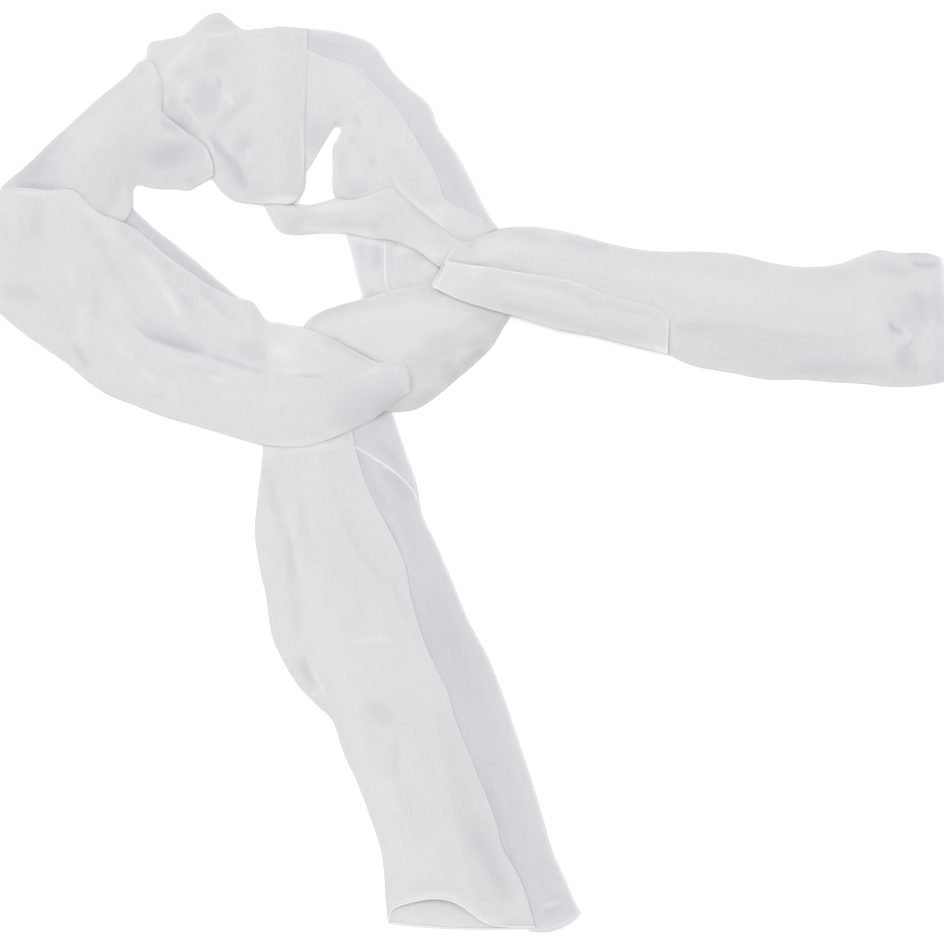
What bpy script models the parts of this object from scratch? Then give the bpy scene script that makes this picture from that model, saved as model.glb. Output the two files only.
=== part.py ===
"""Long chiffon scarf, tied in a loose half knot and laid flat with its two ends free.

The scarf is one rectangle of cloth with rolled hems. Folded lengthwise it makes a
loop, a knot and two tails, and each stretch of it that shows is one closed solid.
Frame: +X to the right, +Y up the length of the table, +Z up from it, metres.
The origin is under the middle of the whole scarf's box.
"""

import bpy
import bmesh
import numpy as np
from mathutils import Vector
from mathutils.bvhtree import BVHTree
from mathutils.geometry import tessellate_polygon
from mathutils.kdtree import KDTree

MM = 0.001

# Sizes that every stretch shares, in millimetres.
REST_GAP = 0.4  # air between two stretches that lie on each other
WALL = 1.6  # the thinnest wall of cloth
TUCK = 2.2  # how deep the groove between the two layers of a folded edge is
FOOT = 3.3  # how far in from a folded edge its flat underside starts
ROLL = 0.6  # how far the lower layer of a folded edge stands back
OPENING_DEPTH = 20.0  # how far a tail's open end is hollow
OPENING_INSET = 8.0  # where the hollow starts, in from the tail's side
REACH = 14.0  # how far past what it lies on a stretch stays level
FALL = 10.0  # how much further it slopes down from there
FEEL = 3.0  # spacing of the places where a stretch feels for what is below
ABOVE_ALL = 1000.0  # a height over the whole scarf

# Heights within a folded edge, as shares of its thickness.
UPPER_LAYER = 0.85
GROOVE = 0.55
LOWER_LAYER = 0.28

# Shapes of the curves: the higher the power, the flatter the middle.
CROWN_POWER = 2.6  # of a stretch across its width
FOLD_POWER = 0.7  # of a fold along its run
HEM_POWER = 0.6  # of the upper hem's curve at an open end
BOW_FROM = 0.8  # from where along a stretch its end starts to bow

# Rows of a stretch, from one end to the other: where its first and second edges lie, how
# high its middle stands above the table, and how thick its edges are. In millimetres.
SECTION = ("first_x", "first_y", "second_x", "second_y", "crown", "edge")

# Rows of its folds: where a fold starts and ends along the stretch, where it runs across
# it at each of those ends (0 is the first edge, 1 the second), how wide it is as a share
# of the width, and its height in millimetres: a ridge is above 0, a trough below.
FOLD = ("start", "end", "across_start", "across_end", "width", "height")

# Grey-white chiffon: the more layers, the less of the table shows through.
CLOTH_FINISH = {"one layer": (0.66, 0.67, 0.69), "folded": (0.76, 0.76, 0.77)}
CLOTH_ROUGHNESS = 0.8

STRETCHES = {
    "edge_strip": {
        "layers": 1,
        "steps": 14,
        "rows": [
            (-244, 192, -251, 179, 2, 2),
            (-238, 187, -244, 174, 2, 2),
            (-224, 174, -229, 158, 2, 2),
            (-212, 165, -218, 149, 2, 2),
            (-201, 156, -207, 140, 2, 2),
            (-190, 147, -195, 132, 2, 2),
            (-180, 138, -183, 125, 2, 2),
            (-168, 128, -170, 118, 2, 2),
            (-162, 123, -161, 113, 2, 2),
        ],
    },
    "loop_edge": {
        "layers": 1,
        "steps": 22,
        "rows": [
            (-133, 320, -131, 293, 2, 2),
            (-120, 319, -114, 290, 2, 2),
            (-105, 318, -98, 284, 2, 2),
            (-87, 315, -84, 279, 2, 2),
            (-67, 307, -76, 269, 2, 2),
            (-54, 289, -62, 258, 2, 2),
            (-41, 276, -53, 243, 2, 2),
            (-27, 264, -42, 224, 2, 2),
            (-20, 247, -32, 205, 2, 2),
            (-8, 230, -27, 191, 2, 2),
            (4, 208, -16, 181, 2, 2),
            (15, 186, -1, 172, 2, 2),
            (23, 174, 14, 163, 2, 2),
        ],
    },
    "neck_strip": {
        "layers": 1,
        "steps": 10,
        "rows": [
            (-79, 184, -26, 179, 4, 2),
            (-86, 172, -15, 164, 5, 2),
            (-83, 159, -10, 150, 5.5, 2),
            (-78, 138, -8, 135, 5.5, 2),
            (-74, 125, -12, 122, 5.5, 2),
            (-68, 110, -19, 107, 4, 2),
        ],
        "folds": [(0.1, 1.0, 0.48, 0.42, 0.06, 1.0)],
    },
    "loop_right": {
        "steps": 26,
        "rests_on": ("loop_edge", "neck_strip"),
        "rows": [
            (-131, 309, -128, 205, 2.5, 2),
            (-120, 307, -116, 214, 3.5, 2),
            (-107, 300, -106, 230, 5, 2),
            (-91, 295, -98, 243, 6, 2),
            (-76, 290, -94, 248, 8, 2.5),
            (-66, 278, -90, 246, 9, 2.5),
            (-53, 266, -92, 240, 9.5, 3),
            (-42, 249, -96, 233, 10, 3),
            (-30, 230, -96, 217, 10, 3),
            (-20, 211, -95, 199, 10, 3),
            (-16, 197, -82, 184, 10, 3),
            (-7, 191, -63, 171, 10, 3),
            (4, 185, -44, 161, 10, 3),
            (15, 179, -24, 153, 9, 2.5),
            (22, 174, -8, 148, 7, 2),
        ],
        "folds": [
            (0.3, 0.75, 0.6, 0.55, 0.1, -1.5),
            (0.35, 0.95, 0.3, 0.35, 0.12, 1.0),
        ],
    },
    "inner_strip": {
        "steps": 22,
        "rests_on": ("loop_right", "neck_strip"),
        "rows": [
            (-130, 204, -147, 202, 2.5, 2),
            (-125, 193, -144, 189, 5, 2),
            (-120, 192, -136, 174, 6, 2.5),
            (-111, 192, -125, 170, 7, 2.5),
            (-102, 194, -105, 171, 7.5, 2.5),
            (-93, 196, -86, 171, 9, 2.5),
            (-81, 195, -76, 169, 10, 2.5),
            (-68, 199, -66, 167, 11.5, 2.5),
            (-55, 204, -55, 166, 12, 2.5),
            (-44, 195, -45, 163, 12, 2.5),
            (-31, 184, -34, 158, 12, 2.5),
            (-14, 172, -23, 149, 11.5, 2.5),
            (0, 161, -10, 143, 10, 2),
            (8, 155, 0, 141, 8, 2),
        ],
    },
    "bend_top": {
        "steps": 26,
        "rests_on": ("loop_edge", "loop_right", "inner_strip"),
        "rows": [
            (-230, 299, -228, 247, 4, 2),
            (-228, 308, -219, 240, 5.5, 2),
            (-215, 311, -210, 233, 7, 2.5),
            (-203, 314, -202, 227, 8, 2.5),
            (-194, 322, -193, 221, 9, 2.5),
            (-186, 328, -184, 212, 9.5, 3),
            (-178, 330, -177, 202, 9.5, 3),
            (-170, 325, -168, 195, 9.5, 3),
            (-161, 318, -160, 193, 10, 3),
            (-152, 318, -149, 192, 10, 3),
            (-143, 319, -138, 192, 9.5, 3),
            (-133, 320, -127, 192, 9, 3),
            (-125, 319, -120, 197, 8, 3),
            (-118, 319, -116, 205, 7.5, 2.5),
            (-114, 317, -117, 220, 6, 2.5),
        ],
        "folds": [
            (0.34, 0.62, 0.68, 0.94, 0.1, -4.0),
            (0.05, 0.38, 0.66, 0.84, 0.14, -3.5),
            (0.2, 0.5, 0.3, 0.42, 0.12, -2.0),
            (0.55, 0.9, 0.45, 0.55, 0.14, 1.0),
        ],
    },
    "bend_left": {
        "steps": 24,
        "rests_on": ("bend_top", "edge_strip"),
        "end_bow": -13.0,
        "rows": [
            (-340, 194, -292, 166, 3.5, 2),
            (-333, 206, -267, 171, 5, 2),
            (-321, 216, -251, 176, 6, 2),
            (-310, 226, -242, 185, 7.5, 2.5),
            (-300, 236, -240, 195, 8, 2.5),
            (-289, 246, -240, 202, 9, 2.5),
            (-277, 257, -236, 206, 9.5, 2.5),
            (-266, 267, -228, 204, 9.5, 2.5),
            (-255, 276, -219, 203, 9.5, 2.5),
            (-245, 284, -210, 203, 9.5, 2.5),
            (-235, 294, -200, 202, 9.5, 2.5),
            (-226, 294, -192, 206, 9.5, 2.5),
            (-220, 284, -186, 210, 9, 2.5),
            (-218, 274, -182, 212, 8, 2.5),
        ],
        "folds": [
            (0.12, 0.45, 0.84, 0.88, 0.07, -4.0),
            (0.0, 0.55, 0.1, 0.06, 0.1, -3.0),
            (0.5, 0.95, 0.72, 0.76, 0.12, -3.0),
            (0.25, 0.85, 0.42, 0.38, 0.1, 1.0),
        ],
    },
    "tail_panel": {
        "layers": 1,
        "steps": 26,
        "rows": [
            (-94, 45, -58, 50, 2, 2),
            (-91, 30, -53, 40, 2, 2),
            (-85, 12, -45, 17, 2, 2),
            (-79, -10, -36, -9, 2, 2),
            (-69, -32, -32, -31, 2, 2),
            (-56, -53, -22, -52, 2, 2),
            (-51, -78, -10, -80, 2, 2),
            (-43, -107, 1, -107, 2, 2),
            (-33, -132, 16, -135, 2, 2),
            (-22, -165, 27, -163, 2, 2),
            (-10, -190, 36, -190, 2, 2),
            (3, -219, 46, -220, 2, 2),
            (13, -246, 54, -246, 2, 2),
            (19, -269, 61, -271, 2, 2),
            (30, -291, 70, -292, 2, 2),
            (40, -312, 78, -310, 2, 2),
            (45, -331, 83, -318, 2, 2),
        ],
        "end_bow": 5.0,
        "folds": [(0.3, 1.2, 0.88, 0.88, 0.12, 1.0)],
    },
    "tail_lower": {
        "steps": 30,
        "rests_on": ("tail_panel",),
        "open_end": True,
        "hem_stands_back": (0.03, 0.56, 0.045),
        "end_bow": 3.0,
        "rows": [
            (-143, 42, -82, 45, 6, 2.5),
            (-145, 27, -81, 25, 7.5, 2.5),
            (-147, 6, -76, 4, 8, 2.5),
            (-150, -19, -68, -18, 9, 2.5),
            (-152, -43, -55, -42, 9, 2.5),
            (-149, -67, -44, -66, 9, 2.5),
            (-144, -90, -39, -91, 9.5, 2.5),
            (-140, -117, -31, -119, 9.5, 2.5),
            (-133, -134, -23, -138, 9.5, 2.5),
            (-121, -154, -13, -158, 9, 2.5),
            (-107, -169, -8, -176, 9, 2.5),
            (-96, -180, -2, -192, 8, 2.5),
            (-88, -203, 6, -212, 8, 2.5),
            (-78, -225, 14, -231, 8, 2.5),
            (-70, -246, 22, -253, 8, 2.5),
            (-62, -270, 27, -272, 7.5, 2.5),
            (-59, -289, 37, -289, 8.5, 3),
            (-58, -307, 44, -306, 8.5, 3),
            (-56, -325, 50, -328, 8.5, 3),
        ],
        "folds": [
            (0.05, 0.55, 0.12, 0.3, 0.08, -2.0),
            (0.22, 0.62, 0.62, 0.8, 0.1, -2.0),
            (0.4, 0.6, 0.1, 0.06, 0.1, -2.0),
            (0.1, 0.5, 0.45, 0.48, 0.12, 1.0),
            (0.55, 0.95, 0.45, 0.6, 0.12, -1.0),
        ],
    },
    "knot_wrap": {
        "steps": 20,
        "rests_on": ("neck_strip", "loop_right", "inner_strip", "tail_panel", "tail_lower"),
        "rows": [
            (-10, 136, 33, 116, 10, 3),
            (-19, 134, 31, 110, 11.5, 3),
            (-28, 133, 26, 102, 13, 3.5),
            (-42, 132, 19, 90, 14.5, 3.5),
            (-58, 129, 6, 77, 15, 3.5),
            (-74, 124, -8, 65, 15, 3.5),
            (-89, 120, -21, 54, 15, 3.5),
            (-106, 114, -33, 46, 14.5, 3.5),
            (-117, 104, -43, 43, 13.5, 3.5),
            (-115, 92, -54, 43, 13, 3.5),
            (-108, 78, -66, 45, 12, 3),
            (-98, 66, -76, 51, 10, 2.5),
        ],
        "folds": [
            (0.1, 0.8, 0.35, 0.45, 0.1, -1.5),
            (0.1, 0.8, 0.62, 0.7, 0.1, 1.0),
        ],
    },
    "tail_right": {
        "steps": 30,
        "rests_on": ("knot_wrap", "loop_right", "inner_strip", "neck_strip", "loop_edge"),
        "open_end": True,
        "end_bow": 4.0,
        "rows": [
            (-3, 162, -20, 133, 15, 2.5),
            (10, 168, -6, 124, 16.5, 3),
            (24, 174, 14, 118, 16.5, 3),
            (40, 176, 32, 112, 15, 3),
            (57, 175, 51, 107, 13, 3),
            (77, 171, 70, 102, 11.5, 3),
            (98, 165, 89, 99, 11, 3),
            (121, 160, 117, 92, 10, 3),
            (141, 158, 140, 86, 10, 3),
            (166, 158, 163, 76, 9.5, 3),
            (194, 156, 190, 71, 9.5, 3),
            (219, 150, 217, 66, 9.5, 3),
            (240, 147, 240, 66, 9.5, 3),
            (264, 148, 264, 64, 9.5, 3),
            (282, 154, 285, 63, 9.5, 3),
            (297, 159, 302, 61, 9.5, 3),
            (312, 157, 321, 61, 9.5, 3),
            (330, 157, 337, 63, 9, 2.5),
            (341, 154, 346, 65, 7.5, 2.5),
        ],
        "folds": [
            (0.5, 0.95, 0.6, 0.66, 0.1, -1.5),
            (0.05, 0.55, 0.28, 0.3, 0.12, 1.0),
            (0.72, 1.0, 0.14, 0.2, 0.08, -2.0),
        ],
    },
    "tail_flap": {
        "layers": 1,
        "steps": 20,
        "reach": 4.0,
        "rests_on": ("tail_right",),
        "rows": [
            (-9, 151, -20, 132, 17, 2),
            (4, 148, -5, 123, 17, 2),
            (24, 145, 14, 117, 16.5, 2),
            (42, 142, 33, 112, 14.5, 2),
            (63, 139, 53, 106, 13, 2),
            (81, 135, 71, 101, 12, 2),
            (96, 128, 89, 98, 11.5, 2),
            (114, 123, 109, 93, 11, 2),
            (129, 120, 125, 89, 11, 2),
            (140, 116, 138, 86, 10, 2),
            (146, 107, 145, 84, 9.5, 2),
        ],
    },
    "strand_left": {
        "steps": 34,
        "rests_on": ("bend_left", "edge_strip", "knot_wrap", "tail_lower", "tail_panel"),
        "rows": [
            (-350, 168, -350, 149, 5, 2),
            (-347, 190, -347, 130, 7.5, 2.5),
            (-338, 202, -338, 116, 9, 3),
            (-320, 204, -321, 101, 9.5, 3),
            (-300, 202, -304, 89, 9.5, 3),
            (-282, 202, -288, 78, 10, 3),
            (-264, 186, -274, 66, 10, 3),
            (-246, 179, -258, 55, 10, 3),
            (-234, 172, -240, 48, 11, 3),
            (-220, 159, -220, 40, 11, 3),
            (-201, 145, -203, 35, 11.5, 3.5),
            (-183, 133, -186, 30, 12, 3.5),
            (-163, 124, -166, 24, 13.5, 3.5),
            (-153, 121, -155, 21, 14.5, 3.5),
            (-144, 109, -146, 19, 15, 3.5),
            (-131, 106, -126, 17, 16.5, 3.5),
            (-117, 103, -112, 18, 17.5, 3.5),
            (-98, 96, -98, 23, 18.5, 3.5),
            (-81, 87, -84, 29, 19, 3.5),
            (-63, 78, -67, 37, 19.5, 3.5),
            (-50, 81, -51, 50, 20.5, 3.5),
            (-43, 75, -42, 56, 19.5, 3),
            (-40, 68, -40, 60, 18.5, 2.5),
        ],
        "folds": [
            (0.34, 0.58, 0.5, 0.5, 0.07, -5.0),
            (0.48, 0.9, 0.5, 0.12, 0.08, -2.0),
            (0.32, 0.54, 0.06, 0.4, 0.08, 2.0),
            (0.46, 0.85, 0.26, 0.18, 0.14, 1.5),
            (0.3, 0.9, 0.74, 0.66, 0.14, 1.0),
            (0.06, 0.34, 0.34, 0.42, 0.1, -2.0),
            (0.08, 0.3, 0.78, 0.7, 0.1, -1.5),
        ],
    },
}


# Places across a stretch where its rings have points, closer together near the edges.
ACROSS = 0.5 * (1 - np.cos(np.linspace(0, np.pi, 11)))
ACROSS_SINGLE = 0.5 * (1 - np.cos(np.linspace(0, np.pi, 7)))
BELOW = np.linspace(0, 1, 8)


def read_rows(rows, along):
    """The rows' values at each place `along` (0 to 1), on a smooth curve through them."""
    rows = np.array(rows, float)
    before, after = 2 * rows[:1] - rows[1:2], 2 * rows[-1:] - rows[-2:-1]
    knots = np.concatenate([before, rows, after])
    place = np.clip(along, 0, 1) * (len(rows) - 1)
    first = np.minimum(place.astype(int), len(rows) - 2)
    f = (place - first)[..., None]
    a, b, c, d = (knots[first + step] for step in range(4))
    return 0.5 * (
        2 * b + (c - a) * f + (2 * a - 5 * b + 4 * c - d) * f**2 + (3 * b - a - 3 * c + d) * f**3
    )


def fold_height(folds, along, across):
    """Sum of the folds: each is a bell across its line and rises and falls along it."""
    height = np.zeros(np.broadcast(along, across).shape)
    for row in folds:
        fold = dict(zip(FOLD, row))
        run = np.clip((along - fold["start"]) / (fold["end"] - fold["start"]), 0, 1)
        line = fold["across_start"] + (fold["across_end"] - fold["across_start"]) * run
        bell = np.exp(-(((across - line) / fold["width"]) ** 2))
        height = height + fold["height"] * np.sin(np.pi * run) ** FOLD_POWER * bell
    return height


def tree_of_places(places):
    """A tree of (x, y) places, to look up those near a point of the table."""
    tree = KDTree(len(places))
    for index, (x, y) in enumerate(places):
        tree.insert((x, y, 0), index)
    tree.balance()
    return tree


class Stretch:
    """One stretch of the scarf: a surface over (along, across), both 0 to 1."""

    def __init__(self, facts, below):
        self.rows = facts["rows"]
        self.folds = facts.get("folds", ())
        self.end_bow = facts.get("end_bow", 0.0)
        self.stands_back = facts.get("hem_stands_back")
        self.reach = facts.get("reach", REACH)
        path = self.middle(np.linspace(0, 1, 100))
        self.length = np.linalg.norm(np.diff(path, axis=0), axis=1).sum()
        self.onward = (path[-1] - path[-2]) / np.linalg.norm(path[-1] - path[-2])
        self.lay_on(below)

    def middle(self, along):
        values = read_rows(self.rows, along)
        return (values[..., 0:2] + values[..., 2:4]) / 2

    def plan(self, along, across):
        """(x, y) on the straight line between the two edges, bowed near the far end."""
        values = read_rows(self.rows, along)
        first, second = values[..., 0:2], values[..., 2:4]
        near_end = np.clip((along - BOW_FROM) / (1 - BOW_FROM), 0, 1) ** 2
        bow = self.end_bow * near_end * 4 * across * (1 - across)
        return first + (second - first) * across[..., None] + self.onward * bow[..., None]

    def lay_on(self, below):
        """Collects the tops of the (points, faces) solids that this stretch covers."""
        widest = self.width(np.linspace(0, 1, 50)).max()
        along = np.linspace(0, 1, int(self.length / FEEL) + 2)
        across = np.linspace(0, 1, int(widest / FEEL) + 2)
        covered = self.plan(*np.meshgrid(along, across)).reshape(-1, 2)
        footprint = tree_of_places(covered)
        tops = []
        for points, faces in below:
            solid = BVHTree.FromPolygons([tuple(point) for point in points], faces)
            for x, y in covered:
                hit = solid.ray_cast(Vector((x, y, ABOVE_ALL)), Vector((0, 0, -1)))[0]
                if hit is not None:
                    tops.append(tuple(hit))
            tops += [point for point in points if footprint.find((*point[:2], 0))[2] < FEEL]
        self.tops = tree_of_places([top[:2] for top in tops])
        self.top_heights = [top[2] for top in tops]

    def lift(self, along, across):
        """Underside height: on the table, or level over what is within its reach and then
        falling away from it at 45 degrees."""
        places = self.plan(along, across)
        found = np.zeros(places.shape[:-1])
        for index in np.ndindex(found.shape):
            near = self.tops.find_range((*places[index], 0), self.reach + FALL)
            for _, top, distance in near:
                height = self.top_heights[top] + REST_GAP - max(0, distance - self.reach)
                found[index] = max(found[index], height)
        return found

    def width(self, along):
        values = read_rows(self.rows, along)
        return np.linalg.norm(values[..., 2:4] - values[..., 0:2], axis=-1)

    def top(self, along, across):
        """Upper surface: from each edge's thickness it rounds up to the crown."""
        values = read_rows(self.rows, along)
        crown, edge = values[..., 4], values[..., 5]
        zero, one = np.zeros_like(across), np.ones_like(across)
        first, second = self.lift(along, zero), self.lift(along, one)
        brim = first + (second - first) * across + edge * UPPER_LAYER
        round_up = np.sqrt(1 - np.abs(2 * across - 1) ** CROWN_POWER)
        height = brim + np.maximum(crown - brim, 0) * round_up
        height = height + fold_height(self.folds, along, across) * round_up
        thinnest = np.minimum(WALL, edge * UPPER_LAYER)
        return np.maximum(height, self.lift(along, across) + thinnest)


def hem_back(stretch, across):
    """How far back the upper layer's hem stands at each place across, as a share."""
    if not stretch.stands_back:
        return np.zeros(len(across))
    start, end, share = stretch.stands_back
    inside = np.clip((across - start) / (end - start), 0, 1)
    return share * np.sin(np.pi * inside) ** HEM_POWER


def side_points(stretch, along, place, levels):
    """Points at one place across each ring, at the heights `levels` (steps, count)."""
    xy = stretch.plan(along, np.broadcast_to(place, along.shape).astype(float))
    xy = np.repeat(xy[:, None, :], levels.shape[1], axis=1)
    return np.concatenate([xy, levels[..., None]], axis=-1)


def folded_rings(stretch, along):
    """Rings of a folded stretch: a rounded top, a flat underside, and at each edge two
    layers with a groove between them. Returns an array (steps, ring, 3)."""
    back = hem_back(stretch, ACROSS)
    top_along = along[:, None] * (1 - back[None, :])
    top_across = np.tile(ACROSS, (len(along), 1))
    top = np.dstack([stretch.plan(top_along, top_across), stretch.top(top_along, top_across)])
    edge = read_rows(stretch.rows, along)[:, 5]
    width = stretch.width(along)

    def layered_edge(sign, end):
        low = stretch.lift(along, np.full(len(along), end))
        groove = (low + edge * GROOVE)[:, None]
        lower_layer = (low + edge * LOWER_LAYER)[:, None]
        return [
            side_points(stretch, along, end + sign * TUCK / width, groove),
            side_points(stretch, along, end + sign * ROLL / width, lower_layer),
        ]

    foot = FOOT / width
    bottom = []
    for share in BELOW:
        place = foot + (1 - 2 * foot) * share
        bottom.append(side_points(stretch, along, place, stretch.lift(along, place)[:, None]))
    second_edge, first_edge = layered_edge(-1, 1.0), layered_edge(1, 0.0)
    return np.concatenate([top, *second_edge, *bottom[::-1], *first_edge[::-1]], axis=1)


def hollow_rings(stretch, along):
    """Rings of the hollow in an open end, point for point like those of folded_rings."""
    back = hem_back(stretch, ACROSS)
    inset = OPENING_INSET / stretch.width(along)
    top_along = along[:, None] * (1 - back[None, :])
    top_across = inset[:, None] + (1 - 2 * inset[:, None]) * ACROSS[None, :]
    roof = stretch.top(top_along, top_across) - WALL
    top = np.dstack([stretch.plan(top_along, top_across), roof])

    def wall(place, height):
        floor = stretch.lift(along, place) + WALL
        levels = floor[:, None] + (height - floor)[:, None] * np.array([2 / 3, 1 / 3])
        return side_points(stretch, along, place, levels)

    corner = ROLL / stretch.width(along)
    bottom = []
    for share in BELOW:
        place = inset + corner + (1 - 2 * inset - 2 * corner) * share
        floor = stretch.lift(along, place) + WALL
        bottom.append(side_points(stretch, along, place, floor[:, None]))
    first_side = wall(inset, roof[:, 0])[:, ::-1]
    return np.concatenate([top, wall(1 - inset, roof[:, -1]), *bottom[::-1], first_side], axis=1)


def single_rings(stretch, along):
    """Rings of a single layer: the same points above and below, a wall apart."""
    place = np.tile(ACROSS_SINGLE, (len(along), 1))
    step = np.tile(along[:, None], (1, len(ACROSS_SINGLE)))
    xy = stretch.plan(step, place)
    upper = np.dstack([xy, stretch.top(step, place)])
    lower = np.dstack([xy, stretch.lift(step, place)])
    return np.concatenate([upper, lower[:, ::-1]], axis=1)


def rings_of(stretch, steps, layers, open_end):
    along = np.linspace(0, 1, steps)
    if layers == 1:
        return single_rings(stretch, along)
    rings = folded_rings(stretch, along)
    if not open_end:
        return rings
    inward = np.linspace(1, 1 - OPENING_DEPTH / stretch.length, 3)
    return np.concatenate([rings, hollow_rings(stretch, inward)])


def close_rings(rings):
    """Points and faces of a tube of rings, closed with a flat cap at each end."""
    steps, size = rings.shape[:2]
    points = rings.reshape(-1, 3)
    faces = []
    for step in range(steps - 1):
        for place in range(size):
            after = (place + 1) % size
            a, b = step * size + place, step * size + after
            faces.append((a, b, b + size, a + size))
    for step in (0, steps - 1):
        ring = [Vector(point) for point in rings[step]]
        for corner in tessellate_polygon([ring]):
            faces.append(tuple(step * size + place for place in corner))
    return points, faces


def make_material(name, layers):
    colour = CLOTH_FINISH["one layer" if layers == 1 else "folded"]
    material = bpy.data.materials.new(name + "_chiffon")
    material.use_nodes = True
    shader = material.node_tree.nodes["Principled BSDF"]
    shader.inputs["Base Color"].default_value = (*colour, 1)
    shader.inputs["Roughness"].default_value = CLOTH_ROUGHNESS
    shader.inputs["Metallic"].default_value = 0
    material.diffuse_color = (*colour, 1)
    return material


def make_object(name, points, faces, layers, collection, parent):
    """A mesh object whose origin is on the table under the middle of its box."""
    points = np.array(points) * MM
    middle = (points.min(axis=0) + points.max(axis=0)) / 2
    middle[2] = 0
    mesh = bpy.data.meshes.new(name)
    mesh.from_pydata((points - middle).tolist(), [], faces)
    shell = bmesh.new()
    shell.from_mesh(mesh)
    bmesh.ops.recalc_face_normals(shell, faces=shell.faces)
    bmesh.ops.triangulate(shell, faces=shell.faces)
    shell.to_mesh(mesh)
    shell.free()
    mesh.shade_smooth()
    mesh.materials.append(make_material(name, layers))
    obj = bpy.data.objects.new(name, mesh)
    obj.location = middle
    obj.parent = parent
    collection.objects.link(obj)
    return obj


def build_scarf():
    collection = bpy.data.collections.new("chiffon_scarf")
    bpy.context.scene.collection.children.link(collection)
    frame = bpy.data.objects.new("scarf_frame", None)
    collection.objects.link(frame)
    laid = {}
    for name, facts in STRETCHES.items():
        stretch = Stretch(facts, [laid[lower] for lower in facts.get("rests_on", ())])
        layers = facts.get("layers", 2)
        rings = rings_of(stretch, facts["steps"], layers, facts.get("open_end", False))
        points, faces = close_rings(rings)
        laid[name] = (points, faces)
        make_object(name, points, faces, layers, collection, frame)


for old in list(bpy.data.objects):
    bpy.data.objects.remove(old)
build_scarf()
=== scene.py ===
import bpy
import bmesh
import numpy as np
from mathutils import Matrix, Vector


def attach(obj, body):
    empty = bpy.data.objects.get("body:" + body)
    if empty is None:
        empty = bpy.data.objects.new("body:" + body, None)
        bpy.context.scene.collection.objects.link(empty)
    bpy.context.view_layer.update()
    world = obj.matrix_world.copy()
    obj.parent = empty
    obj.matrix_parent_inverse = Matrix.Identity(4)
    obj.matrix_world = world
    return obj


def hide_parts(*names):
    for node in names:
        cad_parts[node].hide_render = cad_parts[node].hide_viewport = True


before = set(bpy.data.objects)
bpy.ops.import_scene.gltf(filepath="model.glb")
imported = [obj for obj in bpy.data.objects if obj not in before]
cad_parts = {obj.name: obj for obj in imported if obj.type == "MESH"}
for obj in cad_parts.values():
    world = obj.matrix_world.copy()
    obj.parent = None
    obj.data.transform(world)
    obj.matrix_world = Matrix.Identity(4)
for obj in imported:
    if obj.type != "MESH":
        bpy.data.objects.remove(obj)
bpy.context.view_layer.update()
print("frame loaded")

# A long chiffon scarf in a loose half knot, laid flat. Lengths in the tables are in
# millimetres in the frame of the solids: x along the sideways tail, y up the table, z up.
mm = 0.001

# The cloth itself and how high it lies
cloth = {
    "thickness": 0.12,  # of the shell: one layer of chiffon
    "gap": 0.08,  # air between two stretches that lie on each other
    "closeGap": 0.05,  # the same where an edge dies away into what it lies on
    "single": 0.4,  # how high a single layer lies over what is under it
    "thinnest": 0.45,  # the least height of a folded stretch
    "least": 0.26,  # the least height of an end that lands
    "soften": 0.1,  # the higher, the more softly a surface leaves its least height
}

# How a stretch comes down from what it lies on
drape = {
    "around": 3.0,  # how far round itself it minds what is under it
    "reach": 4.0,  # how far past what it lies on it stays level
    "fall": 18.0,  # how much further it comes down from there
    "rounds": 3,  # how often that slope is softened
}

# How a stretch rounds up from its edges to its crown
swell = {
    "crownPower": 2.3,  # the higher, the flatter its middle
    "dyingWide": 1.15,  # the higher, the sooner it is full height beside an edge that dies away
    "dyingOver": 0.1,  # share of the length over which an edge starts to die away
    "nearEdge": 2.0,  # how far in from such an edge it lies closer
    "foldPower": 0.7,  # the lower, the blunter the ends of a fold
    "shutOver": 0.25,  # share of the width over which a low mouth opens
    "bowFrom": 0.8,  # how far along it starts to bow towards its end
}

# A folded edge: two layers with a groove between them
fold = {
    "thick": 0.7,
    "lipThick": 0.24,  # the same where it lies on another stretch, lands or dies away
    "brim": 0.85,  # height at which the upper surface starts, as a share of the thickness
    "rolledThick": 2.5,  # the thickness for which the roll's insets are in millimetres
    # From the top to the table: how far in the edge is, and its height as a share
    "roll": [
        (0.1, 0.77), (0.7, 0.66), (1.7, 0.60), (2.2, 0.54), (1.5, 0.47),
        (0.7, 0.39), (0.4, 0.28), (0.7, 0.15), (1.5, 0.06), (2.5, 0.01),
    ],
    "foot": 1.2,  # how far in the flat underside starts
    "slack": 0.5,  # how unevenly the layers stand back
    "slackLong": 0.06,  # how far apart these changes are, as a share of the stretch's length
    "seedStep": 7,
}

# Spacing of the mesh
spacing = {
    "along": 2.2,
    "across": 1.5,
    "below": 5.0,  # across the flat underside
    "even": 0.6,  # how even the steps across are, while the rest crowd to the edges
    "nearEnd": (0.3, 0.7, 1.2, 1.8),  # more steps, this far from an end that lands
}

# Brightness and sheerness
tones = {
    # The marks' tones are painted shade and painted light; the darker a tone, painted shade included,
    # the cooler the cloth
    "marks": 1.2,  # how strongly the marks' tones show
    "sheer": 0.5,  # how much of the single layer's cooler colour a folded stretch has
    "darkSheer": 3.5,  # how much cooler the darker marks are
    # rim and below are painted light: they lighten the edges, the ends that land, the rolled folds
    # and the underside against the shade that falls there.
    "rim": 0.07,  # how much lighter the cloth is along its edges
    "rimWide": 1.3,
    "below": 1.06,  # of the folded edges and the underside
}

# Columns of the tables of the stretches
rowColumns = ("firstX", "firstY", "secondX", "secondY", "crown")
foldColumns = ("start", "end", "acrossStart", "acrossEnd", "width", "height")
# The tone of a crease, layer or spot is painted shade below 0 and painted light above 0. A layer's
# tone is partly the darker look of fewer layers and partly painted shade. A layer's glint is a
# painted highlight along its edge.
creaseColumns = ("height", "width", "tone", "path")
layerColumns = ("step", "soft", "spread", "tone", "glint", "path")
spotColumns = ("x", "y", "radiusX", "radiusY", "turn", "height", "tone")


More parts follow.
